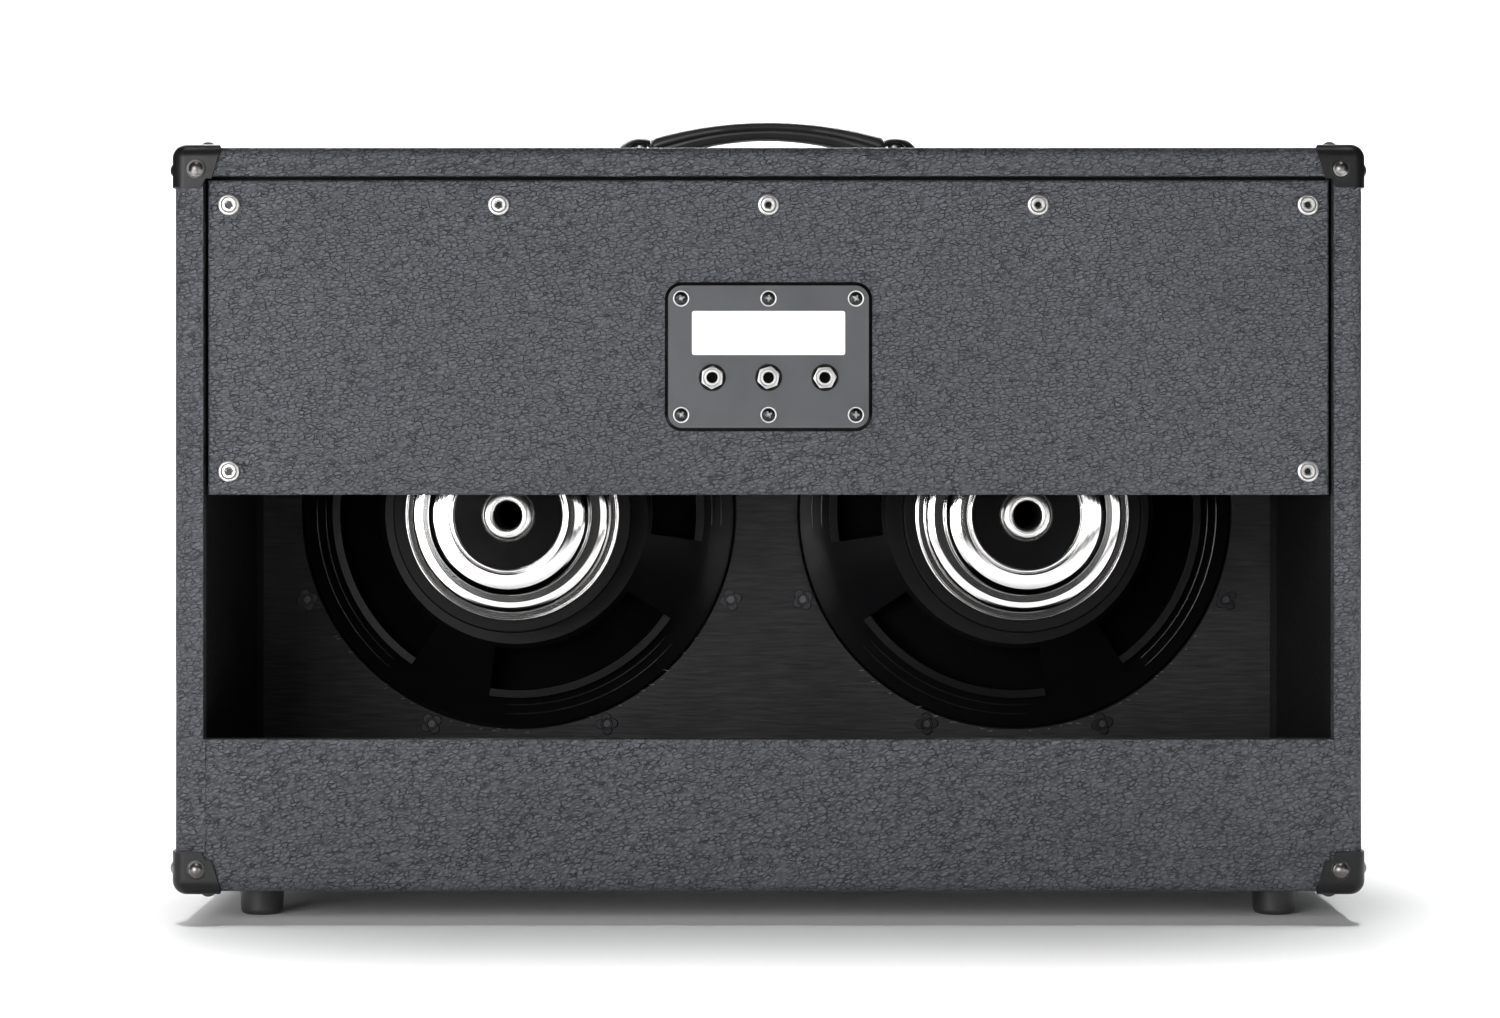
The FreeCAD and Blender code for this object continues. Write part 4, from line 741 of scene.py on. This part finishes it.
def rounded(points, radius):
    """Closed profile with its corners rounded, as far as the sides allow."""
    result = []
    for i, point in enumerate(points):
        corner = Vector(point)
        back = Vector(points[i - 1]) - corner
        on = Vector(points[(i + 1) % len(points)]) - corner
        reach = min(radius, back.length * ROUNDING_SHARE, on.length * ROUNDING_SHARE)
        start = corner + back.normalized() * reach
        end = corner + on.normalized() * reach
        for t in shares(ROUNDING_STEPS):
            result.append(tuple(start * (1 - t) ** 2 + corner * 2 * t * (1 - t) + end * t ** 2))
    return result


def band(bm, first, second):
    """Faces between two loops of points, either of which may be a single point."""
    for k in range(max(len(first), len(second))):
        around = ((first, k), (first, k + 1), (second, k + 1), (second, k))
        corners = list(dict.fromkeys(ring[i % len(ring)] for ring, i in around))
        if len(corners) > 2:
            bm.faces.new(corners)


def lathe(bm, profile, base, axis, segments, closed=True):
    """New faces of a profile turned about an axis; a point may be a function of the angle."""
    before = len(bm.faces)
    turn = Z_AXIS.rotation_difference(axis).to_matrix()
    rings = []
    for item in profile:
        on_axis = not callable(item) and item[0] < WELD
        ring = []
        for k in range(1 if on_axis else segments):
            angle = tau * k / segments
            radius, height = item(angle) if callable(item) else item
            spot = Vector((radius * cos(angle), radius * sin(angle), height)) * MM
            ring.append(bm.verts.new(base + turn @ spot))
        rings.append(ring)
    for first, second in zip(rings, rings[1:]):
        band(bm, first, second)
    if closed:
        band(bm, rings[-1], rings[0])
    bm.faces.ensure_lookup_table()
    return bm.faces[before:]


def skin(bm, rings):
    """Closed tube through loops of points, with a face at each end."""
    for first, second in zip(rings, rings[1:]):
        band(bm, first, second)
    bm.faces.new(rings[0])
    bm.faces.new(rings[-1])


def solid_mesh(node):
    """Copy of a solid's mesh, with its faces joined at their edges."""
    bm = bmesh.new()
    bm.from_mesh(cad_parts[node].data)
    bmesh.ops.remove_doubles(bm, verts=bm.verts, dist=WELD)
    return bm


def islands(node):
    """Lowest and highest corner of each separate solid of a node."""
    bm = solid_mesh(node)
    unseen = set(bm.verts)
    boxes = []
    while unseen:
        front = {unseen.pop()}
        group = set(front)
        while front:
            front = {edge.other_vert(vert) for vert in front for edge in vert.link_edges} - group
            group |= front
        unseen -= group
        boxes.append(tuple(Vector([end(v.co[i] for v in group) for i in range(3)]) for end in (min, max)))
    bm.free()
    return sorted(boxes, key=lambda box: tuple(round(c, SORT_DIGITS) for c in (box[0] + box[1])))


def face_middle(box, index, end):
    """Middle of a box's face across an axis: end 0 is the low face, 1 the high one."""
    middle = (box[0] + box[1]) / 2
    middle[index] = box[end][index]
    return middle


def softened(node, radius):
    """Copy of a solid's mesh with its sharp edges rounded."""
    bm = solid_mesh(node)
    bmesh.ops.dissolve_limit(bm, angle_limit=FLAT_LIMIT, verts=bm.verts, edges=bm.edges)
    sharp = [e for e in bm.edges if len(e.link_faces) == 2 and e.calc_face_angle() > SHARP_LIMIT]
    bmesh.ops.bevel(
        bm, geom=sharp, offset=radius * MM, offset_type="OFFSET", segments=BEVEL_STEPS,
        profile=BEVEL_PROFILE, affect="EDGES", clamp_overlap=True
    )
    return bm


def screw_place(box, height):
    """Base of a screw's head and the way it faces, from the box of its solid."""
    size = box[1] - box[0]
    way = max(range(3), key=lambda i: size[i])
    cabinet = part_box("cabinet_covering")
    end = int(sum(corner[way] for corner in box) > sum(corner[way] for corner in cabinet))
    axis = AXES[way] if end else -AXES[way]
    return face_middle(box, way, end) - axis * height * MM, axis


def shank_profile(shank, start):
    """Pointed shank below a screw's head."""
    radius, length = shank
    return [(radius, start), (radius, SHANK_POINT - length), (0, -length)]


def cross_head(bm, base, axis, head, turn):
    """Screw with a crowned head and a cross recess, whose faces take the second finish: painted highlight in
    black heads, painted shade in nickel heads.
    """
    radius = head["radius"]

    def crown(r):
        return head["rim"] + head["crown"] * (1 - (r / radius) ** 2)

    def recess(x, y):
        deepest = 0.0
        for a, b in ((x, y), (y, x)):
            side = max(0.0, 1 - (abs(a) / head["width"]) ** RECESS_POWER)
            along = max(0.0, 1 - abs(b) / head["reach"])
            deepest = max(deepest, side * min(1.0, along * RECESS_TAPER))
        return deepest * head["depth"]

    def ring(r):
        return lambda angle: (r, crown(r) - recess(r * cos(angle + turn), r * sin(angle + turn)))

    profile = [(0, crown(0) - head["depth"])]
    profile += [ring(radius * k / HEAD_RINGS) for k in range(1, HEAD_RINGS + 1)]
    profile += [(radius, 0)] + shank_profile(head["shank"], HEAD_SEAT)
    for face in lathe(bm, profile, base, axis, MEDIUM_SEGMENTS, closed=False):
        away = (face.calc_center_median() - base) / MM
        height = away.dot(axis)
        across = (away - axis * height).length
        face.material_index = int(0 < height < crown(across) - head["depth"] * RECESS_SHARE)


# Box and rear hardware


def soft_edged_pieces():
    for node, finish, radius in SOFT_EDGES:
        add_piece(node + "_form", softened(node, radius), finish, [node])


def hexagon(width, angle):
    """Distance from a hexagon's middle to its side; the width is half of that across flats."""
    corner = tau / HEX_SIDES
    return width / cos(angle % corner - corner / 2)


def socket_screw(bm, base, turn):
    """Countersunk screw with a hexagon socket, whose faces take the second finish: near-black as painted
    shade in the socket.
    """
    top = BACK_SCREW_PROFILE[0][1]
    floor = top - SOCKET_DEPTH

    def side(height):
        return lambda angle: (hexagon(SOCKET_WIDTH, angle + turn), height)

    profile = [(0, floor), side(floor), side(top - SOCKET_CHAMFER)]
    profile += list(BACK_SCREW_PROFILE) + shank_profile(BACK_SHANK, BACK_SHANK_START)
    # The socket's walls and floor are painted near-black as shade.
    for face in lathe(bm, profile, base, Y_AXIS, NUT_SEGMENTS, closed=False)[:2 * NUT_SEGMENTS]:
        face.material_index = 1


def back_screws():
    bm = bmesh.new()
    for i, box in enumerate(islands("back_panel_cup_washers")):
        socket_screw(bm, face_middle(box, Y_INDEX, 0), i * BACK_SCREW_TURN)
    add_piece("back_screws", bm, ("nickel", "black_screw"), ["back_panel_screws"])


def corner_domes():
    """Domed screws of the corner protectors, each on a thin near-black ring that paints the shade round its
    head.
    """
    domes = bmesh.new()
    shadow_rings = bmesh.new()
    ball = (DOME_RADIUS ** 2 + DOME_HEIGHT ** 2) / (2 * DOME_HEIGHT)
    spread = asin(DOME_RADIUS / ball)
    profile = []
    for share in shares(DOME_STEPS)[:-1]:
        angle = spread * share
        profile.append((ball * sin(angle), DOME_HEIGHT - ball + ball * cos(angle)))
    profile += [(DOME_RADIUS, DOME_RIM), (DOME_RADIUS, 0)] + shank_profile(CORNER_SHANK, HEAD_SEAT)
    for box in islands("corner_screws"):
        base, axis = screw_place(box, DOME_HEIGHT)
        lathe(domes, profile, base, axis, SMALL_SEGMENTS, closed=False)
        lathe(shadow_rings, SHADOW_RING_PROFILE, base, axis, SMALL_SEGMENTS)
    add_piece("corner_domes", domes, "dark_nickel", ["corner_screws"])
    add_piece("painted_shadow_rings", shadow_rings, "gloss_rim")


def turned_sets():
    """Washers, rings and rubber feet."""
    for piece, node, profile, rounding, index, segments, finish, slot in TURNED_SETS:
        bm = bmesh.new()
        for box in islands(node):
            lathe(bm, rounded(profile, rounding), face_middle(box, index, 0), AXES[index], segments)
        add_piece(piece, bm, finish, [node])


def cross_screws(piece, node, bases, axis, head, finish):
    """Cross-head screws of one kind."""
    bm = bmesh.new()
    for i, base in enumerate(bases):
        cross_head(bm, base, axis, head, i * head["turn"])
    # Recess faces take the painted recess tone: highlight in black heads, shade in nickel ones.
    add_piece(piece, bm, (finish, "worn_steel"), [node])


def all_cross_screws():
    """Screws of the jack plate, the feet and the handle."""
    seats = [face_middle(box, Y_INDEX, 0) for box in islands("jack_plate_rings")]
    finish = "black_screw"
    cross_screws("plate_screw_heads", "jack_plate_screws", seats, Y_AXIS, PLATE_SCREW, finish)
    recess = Z_AXIS * FOOT_PROFILE[-1][1] * MM
    seats = [face_middle(box, Z_INDEX, 0) + recess for box in islands("feet")]
    cross_screws("foot_screw_heads", "foot_screws", seats, -Z_AXIS, FOOT_SCREW, "nickel")
    height = Z_AXIS * (HANDLE_SCREW["rim"] + HANDLE_SCREW["crown"]) * MM
    seats = [face_middle(box, Z_INDEX, 1) - height for box in islands("handle_screws")]
    cross_screws("handle_screw_heads", "handle_screws", seats, Z_AXIS, HANDLE_SCREW, "nickel")


# Handle


def handle_strap():
    """Moulded strap: a crowned pad on a narrower band, with rounded ends."""
    bm = bmesh.new()
    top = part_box("cabinet_covering")[1].z
    low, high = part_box("handle_strap")
    half_length = (high.x - low.x) / 2 / MM
    rise = (high.z - top) / MM
    section = list(STRAP_SECTION) + [(-y, t) for y, t in reversed(STRAP_SECTION[1:-1])]
    rings = []
    for share in shares(STRAP_STATIONS):
        x = -cos(pi * share) * half_length
        crest = sqrt(STRAP_ARCH ** 2 - x ** 2) - STRAP_ARCH + rise
        under = sqrt(STRAP_UNDER_ARCH ** 2 - x ** 2) - STRAP_UNDER_ARCH + STRAP_UNDERSIDE
        under = max(under, STRAP_CLEARANCE)
        inside = half_length - abs(x)
        swell = 1.0
        if inside < STRAP_END:
            round_end = sqrt(max(0.0, 1 - (1 - inside / STRAP_END) ** 2))
            swell = STRAP_END_SWELL + (1 - STRAP_END_SWELL) * round_end
        middle = (under + crest) / 2
        half_height = (crest - under) / 2 * swell
        spots = [(x, y * swell, middle + half_height * (2 * t - 1)) for y, t in section]
        rings.append([bm.verts.new(Vector(spot) * MM + Z_AXIS * top) for spot in spots])
    skin(bm, rings)
    add_piece("strap_grip", bm, "handle_grip", ["handle_strap"], "handle")


# Jack plate


def two_tone(piece, node, radius, second, finish):
    """Softened solid whose faces take the second finish where the test holds."""
    bm = softened(node, radius)
    bm.normal_update()
    for face in bm.faces:
        face.material_index = int(second(face))
    add_piece(piece, bm, finish, [node])


def jack_plate():
    """Satin plate whose edge faces are painted near-black as shade, and moulded sockets with a bright mouth.
    """
    finish = ("plate_plastic", "gloss_rim")
    # Faces turned away from the rear take near-black gloss: painted shade along the plate's edge.
    two_tone("jack_plate_form", "jack_plate", PLATE_SOFTNESS, lambda f: f.normal.y < PLATE_RIM_LIMIT, finish)
    soft = SOCKET_SOFTNESS
    nut_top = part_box("jack_nuts")[1].y - soft * MM
    finish = ("black_plastic", "satin_nickel")
    two_tone("socket_bodies", "jack_sockets", soft, lambda f: f.calc_center_median().y > nut_top, finish)


def rating_label():
    """Blank label above the sockets."""
    centre = face_middle(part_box("jack_plate"), Y_INDEX, 1) + Z_AXIS * LABEL_RISE * MM
    bm = bmesh.new()
    outline = []
    for quarter, (sx, sz) in enumerate(((1, 1), (-1, 1), (-1, -1), (1, -1))):
        for share in shares(CORNER_POINTS):
            angle = pi / 2 * (quarter + share)
            x = sx * (LABEL_WIDTH / 2 - LABEL_CORNER) + LABEL_CORNER * cos(angle)
            z = sz * (LABEL_HEIGHT / 2 - LABEL_CORNER) + LABEL_CORNER * sin(angle)
            outline.append(centre + Vector((x, 0, z)) * MM)
    lift = Y_AXIS * LABEL_THICKNESS * MM
    skin(bm, [[bm.verts.new(spot) for spot in outline], [bm.verts.new(spot + lift) for spot in outline]])
    add_piece("blank_label", bm, "label_paper")


def hex_nut(bm, base, thickness, turn):
    """Hexagon nut with both faces chamfered round."""
    half = NUT_FLATS / 2
    land = half * NUT_LAND

    def edge(height, sign):
        def at(angle):
            radius = hexagon(half, angle - radians(turn))
            return radius, height + sign * (radius - half) * NUT_CHAMFER
        return at

    profile = [(NUT_BORE, 0), (land, 0), edge(NUT_EDGE, 1), edge(thickness - NUT_EDGE, -1)]
    profile += [(land, thickness), (NUT_BORE + NUT_MOUTH, thickness)]
    profile.append((NUT_BORE, thickness - NUT_MOUTH_DEPTH))
    lathe(bm, profile, base, Y_AXIS, NUT_SEGMENTS)


def jack_nuts():
    nuts = bmesh.new()
    for box, turn in zip(islands("jack_nuts"), NUT_TURNS):
        hex_nut(nuts, face_middle(box, Y_INDEX, 0), (box[1].y - box[0].y) / MM, turn)
    add_piece("socket_nuts", nuts, "satin_nickel", ["jack_nuts"])


# Drivers


def baffle_front():
    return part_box("baffle_board")[0].y


def driver_piece(piece, name, profile, plane, finish, nodes, body="cabinet", closed=True):
    """Piece turned about the axis of a driver, from a plane across the depth."""
    bm = bmesh.new()
    lathe(bm, profile, hub(name, plane), Y_AXIS, FINE_SEGMENTS, closed)
    return add_piece(piece + "_" + name, bm, finish, nodes, body)


def shell(face, thickness):
    """Closed profile of a thin sheet from the line of its front."""
    return face + [(radius, depth + thickness) for radius, depth in reversed(face)]


def motor(name):
    """Magnet, polished cover with a bare black disc, and yoke with its vent."""
    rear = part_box("magnet_ring_" + name)[1].y
    for piece, profile, rounding, finish, slot, nodes in MOTOR:
        finish += name if finish in TURNED else ""
        nodes = [node + name for node in nodes]
        driver_piece(piece, name, rounded(profile, rounding), rear, finish, nodes)


def bead(bm, centre, radius, middle):
    """Bead along an arc, thinner at its ends; the middle is an angle in degrees."""
    rings = []
    for step in shares(BEAD_STEPS):
        share = 2 * step - 1
        angle = radians(middle + share * BEAD_SPAN / 2)
        outward = Vector((cos(angle), 0, sin(angle)))
        spot = centre + outward * radius * MM
        swell = BEAD_RADIUS * MM * sqrt(max(BEAD_END, 1 - share ** BEAD_POWER))
        turns = [tau * s / BEAD_SIDES for s in range(BEAD_SIDES)]
        sides = [outward * cos(turn) + Y_AXIS * sin(turn) for turn in turns]
        rings.append([bm.verts.new(spot + side * swell) for side in sides])
    skin(bm, rings)


def window_beads(name):
    """Rolled beads outside each window of the basket."""
    bm = bmesh.new()
    for i in range(WINDOW_COUNT):
        for radius, depth in WINDOW_BEADS:
            centre = hub(name, baffle_front() + depth * MM)
            bead(bm, centre, radius, FIRST_ARMS[name] + WINDOW_APART * (2 * i + 1) / 2)
    add_piece("window_beads_" + name, bm, "bead_gloss")


def cone_depth(radius):
    """Depth of the front of the cone behind the front of the baffle."""
    share = (CONE_RIM - radius) / (CONE_RIM - CONE_NECK)
    return CONE_RIM_DEPTH + share * (CONE_NECK_DEPTH - CONE_RIM_DEPTH)


def cone_set(name):
    """Ribbed cone and dust cap, which move together."""
    front = baffle_front()
    body = "cone_" + name
    face = []
    for share in shares(CONE_STEPS):
        radius = CONE_RIM + (CONE_NECK - CONE_RIM) * share
        ridge = 0.0
        first, last = CONE_RIB_SPAN
        if first < share < last:
            ridge = CONE_RIB_HEIGHT * sin(pi * CONE_RIBS * (share - first) / (last - first)) ** 2
        face.append((radius, cone_depth(radius) - ridge))
    profile = shell(face, CONE_THICKNESS)
    driver_piece("paper_cone", name, profile, front, "cone_paper", [body], body)

    rim = cone_depth(CAP_RIM)
    dome = []
    for share in shares(CAP_STEPS):
        angle = pi / 2 * share
        dome.append((CAP_RIM * sin(angle), rim - CAP_HEIGHT * cos(angle)))
    inner_rim = CAP_RIM - CAP_THICKNESS
    inside = [(r * inner_rim / CAP_RIM, depth + CAP_THICKNESS) for r, depth in dome[:-1]]
    profile = dome + [(inner_rim, cone_depth(inner_rim))] + inside[::-1]
    nodes = ["dust_cap_" + name]
    driver_piece("domed_cap", name, profile, front, "cone_paper", nodes, body, False)


def bent_ring(piece, node, name, finish, profile):
    """Thin ring between cabinet and cone, on neither body, with its place baked into its mesh."""
    front = baffle_front()
    ring = driver_piece(piece, name, profile, front, finish, [node + name], None)
    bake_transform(ring)


def cone_suspension(name):
    """Pleated edge and corrugated spider of a cone."""
    face = []
    for share in shares(EDGE_STEPS):
        slope = share * share * (3 - 2 * share)
        fade = 4 * share * (1 - share)
        pleat = EDGE_PLEAT_HEIGHT * sin(tau * EDGE_PLEATS * share)
        depth = CONE_RIM_DEPTH + (EDGE_FRONT - CONE_RIM_DEPTH) * slope + pleat * fade
        face.append((CONE_RIM + (EDGE_RISE - CONE_RIM) * share, depth))
    face.append((EDGE_OUTER, EDGE_FRONT))
    bent_ring("pleated_edge", "cone_edge_", name, "cone_paper", shell(face, EDGE_THICKNESS))

    face = []
    for share in shares(SPIDER_STEPS):
        radius = CONE_NECK + (SPIDER_OUTER - CONE_NECK) * share
        land = min(1.0, (SPIDER_OUTER - radius) / SPIDER_LAND, (radius - CONE_NECK) / SPIDER_LAND)
        wave = SPIDER_PLEAT_HEIGHT * land * sin(tau * SPIDER_PLEATS * share)
        face.append((radius, SPIDER_INNER_DEPTH + (SPIDER_OUTER_DEPTH - SPIDER_INNER_DEPTH) * share + wave))
    profile = shell(face, SPIDER_THICKNESS)
    bent_ring("corrugated_spider", "spider_", name, "spider_cloth", profile)


def tee_nuts():
    """Tee nuts with rounded petals round a raised collar."""
    bm = bmesh.new()

    def petal(inset, height, turn):
        def at(angle):
            apart = tau / TEE_PETALS
            off = (angle + turn) % apart - apart / 2
            chord = TEE_PETAL_RADIUS ** 2 - (TEE_PETAL_CENTRE * sin(off)) ** 2
            reach = TEE_PETAL_CENTRE * cos(off) + sqrt(chord) if chord > 0 else 0.0
            return max(reach, TEE_WAIST) - inset, height
        return at

    for i, box in enumerate(islands("tee_nuts")):
        turn = TEE_TURNS[i % len(TEE_TURNS)]
        profile = [*TEE_BARREL, *[petal(*ring, turn) for ring in TEE_RINGS], *TEE_COLLAR]
        base = face_middle(box, Y_INDEX, 1) - Y_AXIS * TEE_THICKNESS * MM
        lathe(bm, profile, base, Y_AXIS, TEE_SEGMENTS)
    add_piece("petal_tee_nuts", bm, "tee_steel", ["tee_nuts"])


def splinters():
    """Pale fibres torn up along the lower rim of each cut-out."""
    dice = random.Random(SPLINTER_SEED)
    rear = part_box("baffle_board")[1].y
    bm = bmesh.new()
    for name in NAMES:
        for _ in range(SPLINTER_COUNT):
            angle = radians(dice.uniform(*SPLINTER_ARC))
            radius = (SPLINTER_RADIUS + dice.uniform(0.0, SPLINTER_SCATTER)) * MM
            length = dice.uniform(*SPLINTER_LENGTH) * MM
            foot = hub(name, rear) + Vector((cos(angle), 0, sin(angle))) * radius
            way = copysign(1, dice.uniform(-1, 1))
            rise = dice.uniform(*SPLINTER_RISE)
            along = Vector((way, rise, dice.uniform(-SPLINTER_SLANT, SPLINTER_SLANT)))
            tip = foot + along.normalized() * length
            side = Z_AXIS * SPLINTER_WIDTH * MM
            corners = [foot - side, foot + side, foot + Y_AXIS * SPLINTER_LIFT * MM, tip]
            verts = [bm.verts.new(corner) for corner in corners]
            for trio in ((0, 1, 2), (0, 1, 3), (1, 2, 3), (2, 0, 3)):
                bm.faces.new([verts[i] for i in trio])
    add_piece("baffle_splinters", bm, "splinter")


# Grille


def grille_cloth():
    """Cloth stretched over the grille frame and turned back over its edges."""
    low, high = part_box("grille_cloth")
    halves = (high - low) / 2
    middle = face_middle((low, high), Y_INDEX, 0)
    turn = CLOTH_TURN * MM

    def spots(half, count):
        """Places along one direction, with their depths: return, turn, flat front, turn and return."""
        side = [(-half, CLOTH_RETURN * MM)]
        for share in shares(CLOTH_TURN_STEPS):
            angle = pi / 2 * share
            side.append((-half + turn * (1 - cos(angle)), turn * (1 - sin(angle))))
        flat = [(turn - half + 2 * (half - turn) * k / count, 0.0) for k in range(1, count)]
        return side + flat + [(-place, back) for place, back in reversed(side)]

    columns = spots(halves.x, CLOTH_COLUMNS)
    lines = spots(halves.z, CLOTH_ROWS)
    bm = bmesh.new()
    grid = []
    for x, back_x in columns:
        grid.append([bm.verts.new(middle + Vector((x, max(back_x, back_z), z))) for z, back_z in lines])
    for i in range(len(columns) - 1):
        for k in range(len(lines) - 1):
            past_x = max(columns[i][1], columns[i + 1][1]) > turn
            past_z = max(lines[k][1], lines[k + 1][1]) > turn
            if not (past_x and past_z):
                bm.faces.new((grid[i][k], grid[i + 1][k], grid[i + 1][k + 1], grid[i][k + 1]))
    loose = [v for v in bm.verts if not v.link_faces]
    bmesh.ops.delete(bm, geom=loose, context="VERTS")
    piece = add_piece("stretched_cloth", bm, "grille_cloth", ["grille_cloth"])


def dress_nodes():
    """Gives each remaining solid its material."""
    for finish, nodes in STAY.items():
        for node in nodes:
            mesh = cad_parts[node].data
            mesh.materials.clear()
            mesh.materials.append(FINISHES[finish])


# Studio


def sweep():
    """Pale floor that curves up into a backdrop."""
    bm = bmesh.new()
    line = [(SWEEP_NEAR, 0.0)]
    for share in shares(SWEEP_STEPS):
        angle = pi / 2 * share
        line.append((SWEEP_FAR - SWEEP_RADIUS * sin(angle), SWEEP_RADIUS * (1 - cos(angle))))
    line.append((SWEEP_FAR - SWEEP_RADIUS, SWEEP_HEIGHT))
    rows = []
    for y, z in line:
        rows.append([bm.verts.new((side * SWEEP_HALF_WIDTH, y, z)) for side in (-1, 1)])
    for first, second in zip(rows, rows[1:]):
        bm.faces.new((first[0], first[1], second[1], second[0]))
    floor = placed("studio_sweep", new_mesh("studio_sweep", bm, "studio_sweep"))
    bm.free()


def lights():
    """Soft lights, and a room that is pale to the camera and dim as light."""
    for i, (place, aim, width, height, power, spread) in enumerate(SOFT_LIGHTS):
        light = bpy.data.lights.new("soft_light_%d" % (i + 1), "AREA")
        light.shape = "RECTANGLE"
        light.size = width
        light.size_y = height
        light.energy = power
        light.spread = radians(spread)
        lamp = placed(light.name, light)
        lamp.location = place
        lamp.rotation_euler = (Vector(aim) - Vector(place)).to_track_quat("-Z", "Y").to_euler()

    world = bpy.data.worlds.new("pale_room")
    world.use_nodes = True
    tree = world.node_tree
    backdrop = tree.nodes["Background"]
    backdrop.inputs["Color"].default_value = WHITE
    ray = tree.nodes.new("ShaderNodeLightPath")
    level = tree.nodes.new("ShaderNodeMapRange")
    level.inputs["To Min"].default_value = WORLD_LEVEL
    level.inputs["To Max"].default_value = WALL_LEVEL
    tree.links.new(ray.outputs["Is Camera Ray"], level.inputs["Value"])
    tree.links.new(level.outputs["Result"], backdrop.inputs["Strength"])
    bpy.context.scene.world = world
    bpy.context.scene.view_settings.view_transform = "Standard"


def camera():
    data = bpy.data.cameras.new("photo_camera")
    data.lens = CAMERA_LENS
    data.sensor_width = CAMERA_SENSOR
    data.sensor_fit = "HORIZONTAL"
    data.shift_y = CAMERA_SHIFT_PIXELS / PHOTO_WIDTH
    view = placed("photo_camera", data)
    facing = (-Y_AXIS).to_track_quat("-Z", "Y").to_matrix().to_4x4()
    view.matrix_world = Matrix.Translation(CAMERA_PLACE) @ facing
    bpy.context.scene.camera = view


def build():
    make_materials()
    soft_edged_pieces()
    turned_sets()
    all_cross_screws()
    back_screws()
    corner_domes()
    handle_strap()
    jack_plate()
    rating_label()
    jack_nuts()
    for name in NAMES:
        motor(name)
        window_beads(name)
        cone_set(name)
        cone_suspension(name)
    tee_nuts()
    splinters()
    grille_cloth()
    dress_nodes()
    sweep()
    lights()
    camera()


build()
